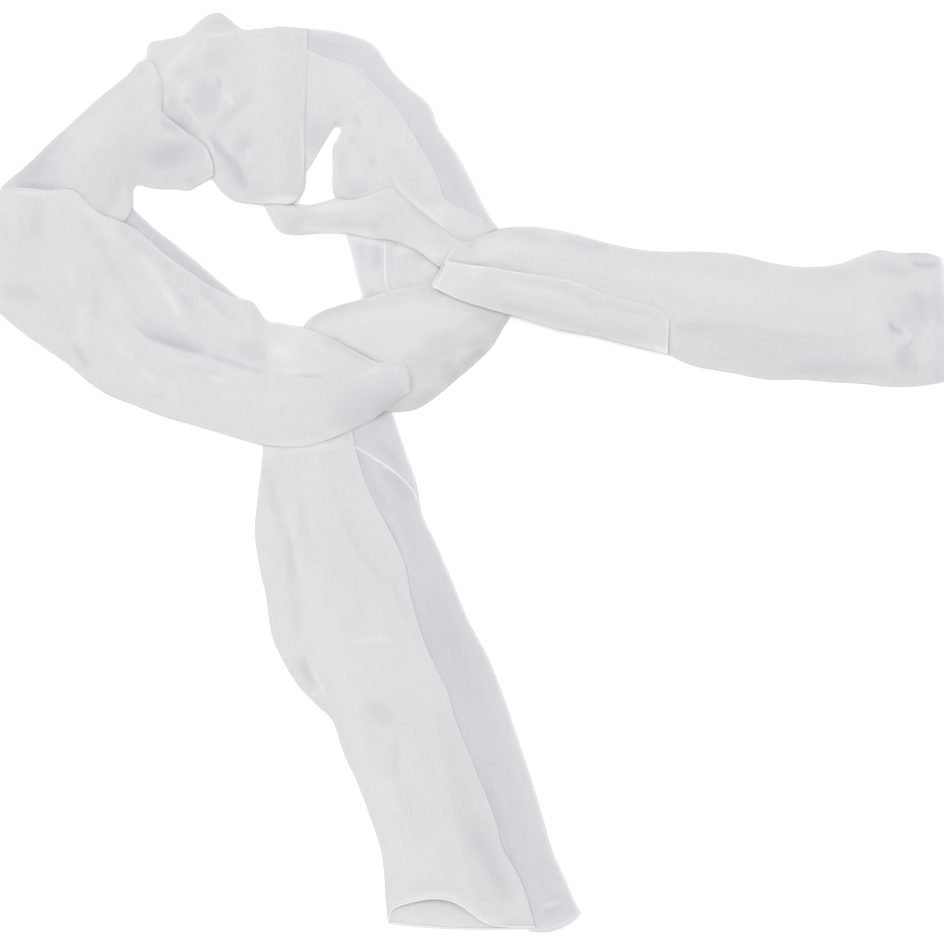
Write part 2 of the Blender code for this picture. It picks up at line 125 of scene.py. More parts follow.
# Values of the rows at each place along (0 to 1): a cubic through each row and its neighbours.
def readRows(rows, along):
    rows = np.array(rows, float)
    before, after = 2 * rows[:1] - rows[1:2], 2 * rows[-1:] - rows[-2:-1]
    knots = np.concatenate([before, rows, after])
    place = np.clip(along, 0, 1) * (len(rows) - 1)
    first = np.minimum(place.astype(int), len(rows) - 2)
    f = (place - first)[..., None]
    a, b, c, d = (knots[first + step] for step in range(4))
    return 0.5 * (
        2 * b + (c - a) * f + (2 * a - 5 * b + 4 * c - d) * f**2 + (3 * b - a - 3 * c + d) * f**3
    )


# 0 below 0, 1 above 1, and 3t2 - 2t3 between.
def ease(t):
    t = np.clip(t, 0, 1)
    return t * t * (3 - 2 * t)


latticeSize = 97


# Smooth random relief from -1 to 1: random numbers on a square lattice, eased between corners.
def lumps(x, y, seed):
    n = latticeSize
    dice = np.random.default_rng(seed).uniform(-1, 1, (n, n))
    i, j = np.floor(x).astype(int), np.floor(y).astype(int)
    fx, fy = ease(x - i), ease(y - j)
    near = dice[i % n, j % n] * (1 - fx) + dice[(i + 1) % n, j % n] * fx
    far = dice[i % n, (j + 1) % n] * (1 - fx) + dice[(i + 1) % n, (j + 1) % n] * fx
    return near * (1 - fy) + far * fy


markShapes = {
    "pathSteps": 6,  # straight steps for each point of a mark's path
    "creaseEnds": 0.6,  # the lower, the blunter the ends of a crease
    "layerEnds": 0.5,  # the same for a layer's edge
    # glintWide: the width of the painted highlight along a layer's edge
    "glintWide": 1.2,  # of the light line along a layer's edge
    "spotSides": 1.5,  # the higher, the flatter a spot and the steeper its sides
}


# Distance of each place from a smooth path, above 0 on the path's left, and how far along
# the path (0 to 1) its nearest point is.
def offPath(x, y, path):
    path = readRows(path, np.linspace(0, 1, markShapes["pathSteps"] * len(path)))
    steps = np.diff(path, axis=0)
    lengths = np.linalg.norm(steps, axis=1)
    starts = np.concatenate([[0], np.cumsum(lengths)])
    nearest, side, along = np.full(x.shape, 1e9), np.zeros(x.shape), np.zeros(x.shape)
    for point, step, length, start in zip(path, steps, lengths, starts):
        px, py = x - point[0], y - point[1]
        share = np.clip((px * step[0] + py * step[1]) / length**2, 0, 1)
        distance = np.hypot(px - share * step[0], py - share * step[1])
        closer = distance < nearest
        nearest = np.where(closer, distance, nearest)
        side = np.where(closer, step[0] * py - step[1] * px, side)
        along = np.where(closer, (start + share * length) / starts[-1], along)
    return nearest * np.where(side < 0, -1, 1), along


# Relief and tone of a stretch's marks at each place. A crease is a bell across its path and
# rises and falls along it. A layer's edge drops by a step on the path's right and comes back
# over its spread. A spot is a flat-topped oval.
# Their tones are painted shade in troughs, pockets and beside the parts that lie over them, and
# painted light on ridges and along seams where shade falls.
def readMarks(facts, x, y):
    relief, tone = np.zeros(x.shape), np.zeros(x.shape)
    for row in facts.get("creases", ()):
        crease = dict(zip(creaseColumns, row))
        off, along = offPath(x, y, crease["path"])
        run = np.sin(np.pi * along) ** markShapes["creaseEnds"]
        bell = np.exp(-((off / crease["width"]) ** 2)) * run
        relief += crease["height"] * bell
        tone += crease["tone"] * bell
    for row in facts.get("layers", ()):
        layer = dict(zip(layerColumns, row))
        off, along = offPath(x, y, layer["path"])
        run = np.sin(np.pi * along) ** markShapes["layerEnds"]
        under = ease(-off / layer["soft"]) * np.exp(-((off / layer["spread"]) ** 2)) * run
        line = np.exp(-((off / markShapes["glintWide"]) ** 2)) * run
        relief -= layer["step"] * under
        tone += layer["tone"] * under + layer["glint"] * line
    for row in facts.get("spots", ()):
        spot = dict(zip(spotColumns, row))
        turn = np.radians(spot["turn"])
        px, py = x - spot["x"], y - spot["y"]
        px, py = px * np.cos(turn) + py * np.sin(turn), py * np.cos(turn) - px * np.sin(turn)
        far = (px / spot["radiusX"]) ** 2 + (py / spot["radiusY"]) ** 2
        oval = np.exp(-(far ** markShapes["spotSides"]))
        relief += spot["height"] * oval
        tone += spot["tone"] * oval
    return relief, tone


# Square cells of the table, and the heights of what is already laid on them
table = {"cell": 2.0, "halfWide": 400.0, "halfDeep": 380.0}
tableShape = tuple(int(2 * table[side] / table["cell"]) + 1 for side in ("halfDeep", "halfWide"))
laidTops = {}


# Rows and columns of the cells that hold each place.
def cellsOf(x, y):
    column = np.rint((x + table["halfWide"]) / table["cell"]).astype(int)
    row = np.rint((y + table["halfDeep"]) / table["cell"]).astype(int)
    return row, column


# The highest z in each cell, 0 where there is none.
def cellHeights(x, y, z):
    heights = np.zeros(tableShape)
    np.maximum.at(heights, cellsOf(x, y), z)
    return heights


# Each cell takes the highest of itself and its neighbours within a radius, less a drop for
# each cell of distance.
def spreadOut(heights, radius, drop=0.0):
    cells = int(radius / table["cell"])
    widest = heights.copy()
    for i in range(-cells, cells + 1):
        for j in range(-cells, cells + 1):
            if 0 < i * i + j * j <= cells * cells:
                moved = np.roll(heights, (i, j), axis=(0, 1)) - drop * np.hypot(i, j)
                np.maximum(widest, moved, out=widest)
    return widest


# Heights between cells, straight from the four around each place.
def heightAt(heights, x, y):
    column = (x + table["halfWide"]) / table["cell"]
    row = (y + table["halfDeep"]) / table["cell"]
    i, j = np.floor(row).astype(int), np.floor(column).astype(int)
    f, g = row - i, column - j
    low = heights[i, j] * (1 - g) + heights[i, j + 1] * g
    return low * (1 - f) + (heights[i + 1, j] * (1 - g) + heights[i + 1, j + 1] * g) * f


# Small wrinkles of three sizes: how long they are, how wide, how high, and how much lighter their
# rises and darker their hollows are painted
wrinkleColumns = ("long", "wide", "height", "tone")
wrinkleRows = [(60, 16, 0.5, 0.006), (26, 7, 0.22, 0.005), (11, 3.2, 0.08, 0.003)]
sway = {
    "by": 0.8,  # how far wrinkles swing across, as a share of their width
    "long": 2,  # how long such a swing is against their length
    "wide": 6,  # and how wide against their width
    "seedStep": 40,
}


# One stretch of the scarf: a surface over along and across, both from 0 to 1.
class Stretch:
    def __init__(self, facts):
        self.facts = facts
        path = self.middle(np.linspace(0, 1, 200))
        self.length = np.linalg.norm(np.diff(path, axis=0), axis=1).sum()
        self.onward = (path[-1] - path[-2]) / np.linalg.norm(path[-1] - path[-2])
        self.layOn([laidTops[name] for name in facts.get("restsOn", ())])

    # Half way between the two edges.
    def middle(self, along):
        values = readRows(self.facts["rows"], along)
        return (values[..., 0:2] + values[..., 2:4]) / 2

    # Straight from the first edge to the second, bowed or shaped near the far end, the more
    # the nearer.
    def plan(self, along, across):
        values = readRows(self.facts["rows"], along)
        bowFrom = self.facts.get("bowFrom", swell["bowFrom"])
        nearEnd = np.clip((along - bowFrom) / (1 - bowFrom), 0, 1) ** 2
        first, second = values[..., 0:2], values[..., 2:4]
        bow = self.facts.get("endBow", 0.0) * nearEnd * 4 * across * (1 - across)
        places = first + (second - first) * across[..., None] + self.onward * bow[..., None]
        if "endShape" in self.facts:
            shift = np.interp(across, *np.array(self.facts["endShape"]).T) * nearEnd
            edges = (second - first) / np.linalg.norm(second - first, axis=-1, keepdims=True)
            out = np.stack([-edges[..., 1], edges[..., 0]], axis=-1)
            places = places + out * shift[..., None]
        return places

    # Distance between the two edges.
    def width(self, along):
        values = readRows(self.facts["rows"], along)
        return np.linalg.norm(values[..., 2:4] - values[..., 0:2], axis=-1)

    # 1 where the first (0) or second (1) edge is a real edge, 0 where it dies away.
    def firm(self, along, side):
        full = np.ones(along.shape)
        over = swell["dyingOver"]
        for edgeSide, start, end in self.facts.get("blendedEdges", ()):
            if edgeSide == side:
                inside = ease((along - start) / over + 1) * ease((end - along) / over + 1)
                full = np.minimum(full, 1 - inside)
        return full

    # Thickness of a folded edge, less where it dies away, lands or lies on another stretch.
    def edge(self, along, side):
        place = self.plan(along, np.full(along.shape, float(side)))
        onTable = 1 - ease(heightAt(self.below, place[..., 0], place[..., 1]))
        full = np.minimum(self.firm(along, side), self.settled(along)) * onTable
        return fold["lipThick"] + (fold["thick"] - fold["lipThick"]) * full

    # For each end that lands: over what length, and how far off it is as a share of the whole.
    def landings(self, along):
        startLand, endLand = self.facts.get("lands", (0, 0))
        return [(land, far) for land, far in ((startLand, along), (endLand, 1 - along)) if land]

    # 1 along the stretch, easing to 0 at an end that comes down on what lies under it.
    def settled(self, along):
        share = np.ones(along.shape)
        for land, distance in self.landings(along):
            share = share * ease(distance * self.length / land)
        return share

    # Underside heights: level past what it lies on, then down at 45 degrees, then softened by
    # the mean of each cell and its two neighbours, one way after the other.
    def layOn(self, tops):
        self.below = np.zeros(tableShape)
        if not tops:
            return
        widest = self.width(np.linspace(0, 1, 50)).max()
        grid = np.meshgrid(np.linspace(0, 1, int(self.length)), np.linspace(0, 1, int(widest)))
        places = self.plan(*grid)
        covered = cellHeights(places[..., 0], places[..., 1], 1.0)
        covered = spreadOut(covered, drape["around"]) > 0
        tops = np.where(covered, np.max(tops, axis=0), 0)
        least = spreadOut(tops, drape["around"])
        level = spreadOut(tops, drape["reach"])
        level = spreadOut(level, drape["fall"], table["cell"])
        for axis in (0, 1) * drape["rounds"]:
            level = (np.roll(level, 1, axis) + level + np.roll(level, -1, axis)) / 3
        self.below = np.maximum(level, least)

    # Height of the underside: what lies below and the air on it, with less air beside an edge
    # that dies away and at an end that lands.
    def lift(self, along, across):
        places = self.plan(along, across)
        height = heightAt(self.below, places[..., 0], places[..., 1])
        firm = np.where(across < 0.5, self.firm(along, 0), self.firm(along, 1))
        fromEdge = np.minimum(across, 1 - across) * self.width(along)
        nearEdge = 1 - ease(fromEdge / swell["nearEdge"])
        firm = np.minimum(1 - nearEdge * (1 - firm), self.settled(along))
        air = cloth["closeGap"] + (cloth["gap"] - cloth["closeGap"]) * firm
        return height + air * np.clip(height, 0, 1)

    # A fold is a bell across its line that rises and falls along it.
    def foldHeight(self, along, across):
        height = np.zeros(along.shape)
        for row in self.facts.get("folds", ()):
            ridge = dict(zip(foldColumns, row))
            run = np.clip((along - ridge["start"]) / (ridge["end"] - ridge["start"]), 0, 1)
            line = ridge["acrossStart"] + (ridge["acrossEnd"] - ridge["acrossStart"]) * run
            bell = np.exp(-(((across - line) / ridge["width"]) ** 2))
            height += ridge["height"] * np.sin(np.pi * run) ** swell["foldPower"] * bell
        return height

    # Small random wrinkles, longer along the stretch than across it.
    def wrinkles(self, along, across):
        u, v = along * self.length, across * self.width(along)
        relief, tone = np.zeros(along.shape), np.zeros(along.shape)
        for place, row in enumerate(wrinkleRows):
            kind = dict(zip(wrinkleColumns, row))
            seed = self.facts["seed"] + place
            far, off = u / kind["long"] / sway["long"], v / kind["wide"] / sway["wide"]
            bend = sway["by"] * lumps(far, off, seed + sway["seedStep"])
            wave = lumps(u / kind["long"], v / kind["wide"] + bend, seed)
            relief += kind["height"] * wave
            # Painted shade and light: each wrinkle is lighter where it rises and darker in its
            # hollows
            tone += kind["tone"] * wave
        return relief, tone

    # 1 on an edge or on an end that lands, and 0 further in: where the painted light along the rim
    # goes.
    def rim(self, along, across):
        far = np.minimum(across, 1 - across) * self.width(along)
        for land, distance in self.landings(along):
            far = np.minimum(far, distance * self.length)
        return np.exp(-((far / tones["rimWide"]) ** 2))

    # Places along the stretch, closer together where an end lands.
    def steps(self):
        even = np.linspace(0, 1, int(self.length / spacing["along"]) + 2)
        close = np.array(spacing["nearEnd"]) / self.length
        startLand, endLand = self.facts.get("lands", (0, 0))
        near = [close] if startLand else []
        far = [1 - close] if endLand else []
        return np.unique(np.concatenate([even, *near, *far]))

    # Height and tone of the upper surface: from each edge it rounds up to the crown, and
    # takes folds, marks and wrinkles. A hidden end comes down on to what lies under it, and
    # nowhere is the surface below its least height.
    def top(self, along, across):
        places = self.plan(along, across)
        marks, tone = readMarks(self.facts, places[..., 0], places[..., 1])
        small, wrinkleShading = self.wrinkles(along, across)
        crown = readRows(self.facts["rows"], along)[..., rowColumns.index("crown")]
        first = self.lift(along, np.zeros_like(across))
        second = self.lift(along, np.ones_like(across))
        here = self.lift(along, across)
        if self.facts["layerCount"] > 1:
            first = first + fold["brim"] * self.edge(along, 0)
            second = second + fold["brim"] * self.edge(along, 1)
            rise = np.full(along.shape, cloth["thinnest"])
        else:
            single = self.facts.get("single", cloth["single"])
            first, second = first + single, second + single
            rise = np.full(along.shape, single)
        brim = first + (second - first) * across
        fromMiddle = np.abs(2 * across - 1)
        roundUp = np.clip(1 - fromMiddle ** swell["crownPower"], 0, 1)
        firm = np.where(across < 0.5, self.firm(along, 0), self.firm(along, 1))
        dying = ease(swell["dyingWide"] * (1 - fromMiddle))
        roundUp = dying + (roundUp - dying) * firm
        low, far, shut = self.facts.get("lowMouth", (1, 1, 2))
        low = low * (1 - ease((across - shut) / swell["shutOver"]))
        sunk = low + (1 - low) * ease((1 - along) * self.length / far)
        height = brim + np.maximum(crown * sunk - brim, 0) * roundUp
        height += (self.foldHeight(along, across) + marks + small) * roundUp
        thin = np.clip(brim - here, np.minimum(cloth["least"], rise), rise)
        over = (height - here - thin) * self.settled(along)
        height = here + thin + 0.5 * (over + np.sqrt(over**2 + cloth["soften"]))
        # The marks' and wrinkles' tones are painted shade and painted light
        tone = tones["marks"] * (tone + wrinkleShading)
        # Painted light along the edges and the ends that land, against the shade beside them
        rimPaintedLight = self.facts.get("rimPaintedLight", tones["rim"])
        return height, 1 + tone + rimPaintedLight * self.rim(along, across)


# A mesh from a grid of points (steps, ring, 3) in millimetres, closed round the ring if
# asked, with its weave map in millimetres and the marks' values at each point. Where the
# first third of the ring, which is the upper side, looks down, all faces are turned.
def gridMesh(name, points, marks, closed):
    steps, size = points.shape[:2]
    shown = size if closed else size - 1
    step, place = np.meshgrid(np.arange(steps - 1), np.arange(shown), indexing="ij")
    corners = [(step, place), (step, place + 1), (step + 1, place + 1), (step + 1, place)]
    faces = np.stack([s * size + p % size for s, p in corners], axis=-1).reshape(-1, 4)
    ring = np.concatenate([points, points[:, :1]], axis=1) if closed else points
    across = np.cumsum(np.linalg.norm(np.diff(ring, axis=1), axis=-1), axis=1)
    across = np.concatenate([np.zeros((steps, 1)), across], axis=1)
    middle = points.mean(axis=1)
    along = np.concatenate([[0], np.cumsum(np.linalg.norm(np.diff(middle, axis=0), axis=1))])
    weave = np.stack([across, np.broadcast_to(along[:, None], across.shape)], axis=-1)
    weave = np.stack([weave[s, p] for s, p in corners], axis=-2).reshape(-1, 4, 2)
    flat = points.reshape(-1, 3) * mm
    a, b, c = flat[faces[:, 0]], flat[faces[:, 1]], flat[faces[:, 3]]
    facing = np.cross(b - a, c - a).reshape(steps - 1, shown, 3)[:, : shown // 3, 2].sum()
    if facing < 0:
        faces, weave = faces[:, ::-1], weave[:, ::-1]
    mesh = bpy.data.meshes.new(name)
    mesh.from_pydata(flat.tolist(), [], faces.tolist())
    mesh.uv_layers.new(name="weave").data.foreach_set("uv", weave.reshape(-1))
    for label, values in marks.items():
        values = np.broadcast_to(values, (steps, size)).astype(float).reshape(-1)
        mesh.attributes.new(label, "FLOAT", "POINT").data.foreach_set("value", values)
    return mesh


mergeDistance = 0.00001  # metres


# An object at the origin, with the places where its points meet merged.
def addPiece(name, mesh, material):
    shell = bmesh.new()
    shell.from_mesh(mesh)
    bmesh.ops.remove_doubles(shell, verts=shell.verts, dist=mergeDistance)
    shell.to_mesh(mesh)
    shell.free()
    mesh.shade_smooth()
    mesh.materials.append(material)
    piece = bpy.data.objects.new(name, mesh)
    bpy.context.scene.collection.objects.link(piece)
    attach(piece, "root")
    return piece


# The cloth's own thickness, inwards from the surface.
def thicken(piece):
    wall = piece.modifiers.new("cloth", "SOLIDIFY")
    wall.thickness = cloth["thickness"] * mm
    wall.offset = -1


# How far back the upper layer's hem stands at each place across, as a share of the length.
def hemBack(facts, across):
    if "hemBack" not in facts:
        return np.zeros_like(across)
    curve = np.array(facts["hemBack"], float)
    dense = readRows(curve, np.linspace(0, 1, 60))
    return np.interp(across, dense[:, 0], dense[:, 1]).clip(0)


# Rings of a folded stretch: over the top, round the second edge's two layers, back along
# the flat underside and up round the first edge.
def foldedRings(stretch, along):
    facts = stretch.facts
    widths = stretch.width(along)
    count = int(widths.max() / spacing["across"]) | 1
    crowded = 0.5 * (1 - np.cos(np.linspace(0, np.pi, count)))
    share = spacing["even"] * np.linspace(0, 1, count) + (1 - spacing["even"]) * crowded
    grid = np.meshgrid(along, share, indexing="ij")
    topAlong = grid[0] * (1 - hemBack(facts, grid[1]))
    height, tone = stretch.top(topAlong, grid[1])
    top = np.dstack([stretch.plan(topAlong, grid[1]), height])

    def side(end, sign):
        inset, level = np.array(fold["roll"]).T
        seed = facts["seed"] + fold["seedStep"]
        wave = lumps(along / fold["slackLong"], np.full(along.shape, end), seed)
        slack = 1 + fold["slack"] * wave
        thick = stretch.edge(along, end)[:, None]
        back = inset[None, :] * slack[:, None] * thick / fold["rolledThick"]
        steps = np.repeat(along[:, None], len(inset), axis=1)
        low = stretch.lift(steps, np.full(steps.shape, float(end)))
        places = stretch.plan(steps, end + sign * back / widths[:, None])
        return np.dstack([places, low + thick * level])

    below = int(widths.max() / spacing["below"]) + 2
    foot = fold["foot"] / widths[:, None]
    place = foot + (1 - 2 * foot) * np.linspace(0, 1, below)[None, :]
    steps = np.repeat(along[:, None], below, axis=1)
    floor = np.dstack([stretch.plan(steps, place), stretch.lift(steps, place)])
    rings = np.concatenate([top, side(1, -1), floor[:, ::-1], side(0, 1)[:, ::-1]], axis=1)
    # The rolled edges and the underside get a lighter tone: painted light against the shade that
    # falls on them
    rest = np.full((len(along), rings.shape[1] - tone.shape[1]), tones["below"])
    return rings, np.concatenate([tone, rest], axis=1)


# The ends draw together to a point over the tip's length, as a quarter of an oval.
def closeTips(rings, along, length, tips):
    for tip, distance in ((tips[0], along * length), (tips[1], (1 - along) * length)):
        if tip:
            size = np.sqrt(np.clip(1 - np.clip(1 - distance / tip, 0, 1) ** 2, 0, 1))
            middle = rings.mean(axis=1, keepdims=True)
            middle[..., 2] = (rings[..., 2].min(axis=1) + rings[..., 2].max(axis=1))[:, None] / 2
            rings = middle + (rings - middle) * size[:, None, None]
    return rings


# The stretches that show, the lowest first. What a stretch's facts say:
#   node: the solid in whose place it lies
#   layerCount: 1 for a single layer, 2 for a folded stretch
#   restsOn: the nodes under it
#   rows: its two edges and its crown's height, from one end to the other
#   folds, creases, layers, spots: its marks, with the columns named above; the tones of creases,
#       layers and spots are painted shade and painted light
#   hems: paths of rolled hems on it; mouth: its far end is open, with a hem round it
#   cut: width and length of its cloth laid flat, in metres
#   shade, sheer, rimPaintedLight: its brightness, its share of the cooler colour, and the painted
#       light along its edges (painted shade where below 0)
#   single: how high it lies over what is under it
#   blendedEdges: side (0 or 1), start and end of an edge that dies away
#   lands: over what length each end comes down on what is under it
#   tips: over what length each end closes to a point
#   endBow: how far the middle of its far end stands out; bowFrom: how far along that starts
#   endShape: place across and how far the far end is pushed out there
#   hemBack: place across and how far back the upper layer ends, as a share of the length
#   lowMouth: how low its far end is, over what length, and up to what place across
edgeStrip = {
    "node": "edge_strip",
    "layerCount": 1,
    "shade": 0.83,
    "cut": (0.015, 0.11),
    "rows": [
        (-244, 192, -251, 179, 2),
        (-238, 187, -244, 174, 2),
        (-224, 174, -229, 158, 2),
        (-212, 165, -218, 149, 2),
        (-201, 156, -207, 140, 2),
        (-190, 147, -195, 132, 2),
        (-180, 138, -183, 125, 2),
        (-168, 128, -170, 118, 2),
        (-162, 123, -161, 113, 2),
    ],
    "creases": [
        (0.3, 2.5, 0.02, [(-228, 181), (-199, 156), (-166, 125)]),
    ],
}

loopEdge = {
    "node": "loop_edge",
    "layerCount": 1,
    "shade": 0.967,
    "cut": (0.035, 0.215),
    "rows": [
        (-133, 320, -131, 293, 2),
        (-120, 319, -114, 290, 2),
        (-105, 318, -98, 284, 2),
        (-87, 315, -84, 279, 2),
        (-67, 307, -76, 269, 2),
        (-54, 289, -62, 258, 2),
        (-41, 276, -53, 243, 2),
        (-27, 264, -42, 224, 2),
        (-20, 247, -32, 205, 2),
        (-8, 230, -27, 191, 2),
        (4, 208, -16, 181, 2),
        (15, 186, -1, 172, 2),
        (23, 174, 14, 163, 2),
    ],
    "creases": [
        (0.4, 5.0, -0.06, [(-122, 313), (-107, 309), (-91, 303), (-82, 299)]),
        (0.3, 3.0, 0.015, [(-80, 310), (-66, 297), (-53, 280), (-37, 261), (-22, 238), (-8, 217)]),
        (-0.3, 6.0, -0.055, [(-33, 243), (-24, 231), (-14, 217), (-7, 201), (6, 186)]),
    ],
}

neckStrip = {
    "node": "neck_strip",
    "layerCount": 1,
    "shade": 1.045,
    "cut": (0.066, 0.074),
    "hems": [
        [(-59, 167), (-58, 156), (-58, 143), (-56, 127)],
    ],
    "rows": [
        (-79, 184, -26, 179, 4),
        (-86, 172, -15, 164, 5),
        (-83, 159, -10, 150, 5.5),
        (-78, 138, -8, 135, 5.5),
        (-74, 125, -12, 122, 5.5),
        (-68, 110, -19, 107, 4),
    ],
    "folds": [
        (0.1, 1.0, 0.48, 0.42, 0.06, 1.0),
    ],
    "creases": [
        (0.0, 3.0, 0.12, [(-84, 168), (-69, 166), (-52, 161)]),
        (-0.4, 3.5, -0.08, [(-64, 164), (-64, 153), (-63, 142)]),
        (-0.4, 2.0, -0.05, [(-55, 163), (-53, 155), (-53, 145)]),
        (-0.4, 3.0, -0.04, [(-78, 168), (-75, 158), (-73, 150)]),
        (-0.3, 2.0, -0.04, [(-43, 135), (-37, 134), (-30, 135)]),
    ],
    "spots": [
        (-23, 148, 9, 7, 0, 0, 0.14),
        (-42, 161, 10, 4, 15, 0, 0.13),
        (-73, 156, 7, 10, 0, 0, -0.03),
        (-66, 125, 8, 4, 0, 0, -0.04),
    ],
}

loopRight = {
    "node": "loop_right",
    "layerCount": 2,
    "restsOn": ("loop_edge", "neck_strip"),
    "sheer": 0.6,
    "shade": 1.025,
    "blendedEdges": [(0, -0.1, 1.1)],
    "cut": (0.128, 0.198),
    "rows": [
        (-131, 309, -128, 205, 2.5),
        (-120, 307, -116, 214, 3.5),
        (-107, 300, -106, 230, 5),
        (-91, 295, -98, 243, 6),
        (-76, 290, -94, 248, 8),
        (-66, 278, -90, 246, 9),
        (-53, 266, -92, 240, 9.5),
        (-42, 249, -96, 233, 10),
        (-30, 230, -96, 217, 10),
        (-20, 211, -95, 199, 10),
        (-16, 197, -82, 184, 10),
        (-7, 191, -63, 171, 10),
        (4, 185, -44, 161, 10),
        (15, 179, -24, 153, 9),
        (22, 174, -8, 148, 7),
    ],
    "folds": [
        (0.3, 0.75, 0.6, 0.55, 0.1, -1.5),
        (0.35, 0.95, 0.3, 0.35, 0.12, 1.0),
    ],
    "creases": [
        (-1.2, 7.0, -0.04, [(-111, 258), (-108, 246), (-111, 231)]),
        (-0.8, 2.2, -0.06, [(-94, 253), (-91, 249), (-89, 247)]),
        (1.0, 7.0, 0.03, [(-72, 270), (-59, 256), (-45, 237), (-30, 215), (-19, 192)]),
        (0.6, 2.2, 0.03, [(-76, 257), (-73, 248), (-70, 240)]),
        (-0.6, 2.0, -0.04, [(-78, 258), (-77, 253), (-76, 247)]),
        (-1.2, 2.4, -0.04, [(-56, 210), (-49, 202), (-42, 196), (-36, 189), (-24, 179),
                            (-16, 172)]),
        (0.8, 1.6, 0.045, [(-53, 210), (-45, 201), (-35, 191), (-23, 181)]),
        (0.8, 3.0, 0.03, [(-104, 309), (-87, 292), (-72, 274)]),
        (-0.7, 6.0, -0.045, [(-92, 238), (-89, 220), (-86, 202)]),
        (0.8, 2.4, 0.045, [(-128, 311), (-117, 305), (-105, 298), (-92, 291)]),
        (0.0, 2.2, 0.05, [(-117, 310), (-117, 289), (-117, 267)]),
        (0.0, 2.2, 0.05, [(-52, 207), (-42, 198), (-32, 189), (-20, 179), (-12, 171)]),
    ],
    "layers": [
        (0.3, 6.0, 30, -0.02, 0, [(-18, 199), (-23, 215), (-36, 233), (-46, 250), (-60, 269),
                                  (-73, 284), (-84, 296)]),
    ],
    "spots": [
        (-107, 242, 8, 12, 0, 0, -0.03),
        (-20, 184, 9, 9, 0, 0.3, 0.045),
        (-78, 202, 9, 6, 0, 0, -0.065),
        (-48, 245, 13, 14, -45, 0, 0.035),
        (-80, 195, 5, 3, 0, 0, 0.03),
        (-82, 239, 3, 3, 0, 0, -0.06),
        (-114, 215, 5, 10, 0, 0, 0.1),
        (-68, 222, 3, 4, 0, 0, -0.05),
        (-98, 306, 16, 9, -15, -0.3, -0.06),
    ],
}

innerStrip = {
    "node": "inner_strip",
    "layerCount": 2,
    "restsOn": ("loop_right", "neck_strip"),
    "blendedEdges": [(0, 0.25, 1.1), (1, 0.6, 1.1)],
    "lands": (0, 110),
    "cut": (0.056, 0.167),
    "tips": (4, 0),
    "rows": [
        (-130, 204, -147, 202, 2.5),
        (-125, 193, -144, 189, 5),
        (-120, 192, -136, 174, 6),
        (-111, 192, -125, 170, 7),
        (-102, 194, -105, 171, 7.5),
        (-93, 196, -86, 171, 9),
        (-81, 195, -76, 169, 10),
        (-68, 199, -66, 167, 11.5),
        (-55, 204, -55, 166, 12),
        (-44, 195, -45, 163, 12),
        (-31, 184, -34, 158, 12),
        (-14, 172, -23, 149, 11.5),
        (0, 161, -10, 143, 10),
        (8, 155, 0, 141, 8),
    ],
    "creases": [
        (-0.6, 4.0, -0.05, [(-130, 175), (-120, 181), (-105, 186)]),
        (0.0, 3.0, 0.12, [(-120, 174), (-97, 173), (-82, 172), (-63, 168)]),
        (0.0, 4.0, 0.06, [(-144, 192), (-134, 192), (-122, 192)]),
        (1.0, 5.0, 0.03, [(-120, 190), (-98, 191), (-82, 193), (-68, 192)]),
        (-0.6, 5.0, -0.02, [(-98, 179), (-82, 176), (-65, 176)]),
        (1.2, 4.5, 0.075, [(-48, 165), (-33, 159), (-20, 153), (-10, 149)]),
        (0.8, 2.5, 0.025, [(-140, 188), (-135, 181), (-131, 174)]),
        (-0.6, 3.0, -0.055, [(-42, 192), (-30, 181), (-14, 169)]),
    ],
    "spots": [
        (-14, 153, 15, 9, -20, 0.4, 0.055),
        (-64, 177, 5, 4, 0, 0, -0.03),
        (-33, 168, 16, 10, -35, 0, 0.02),
    ],
}

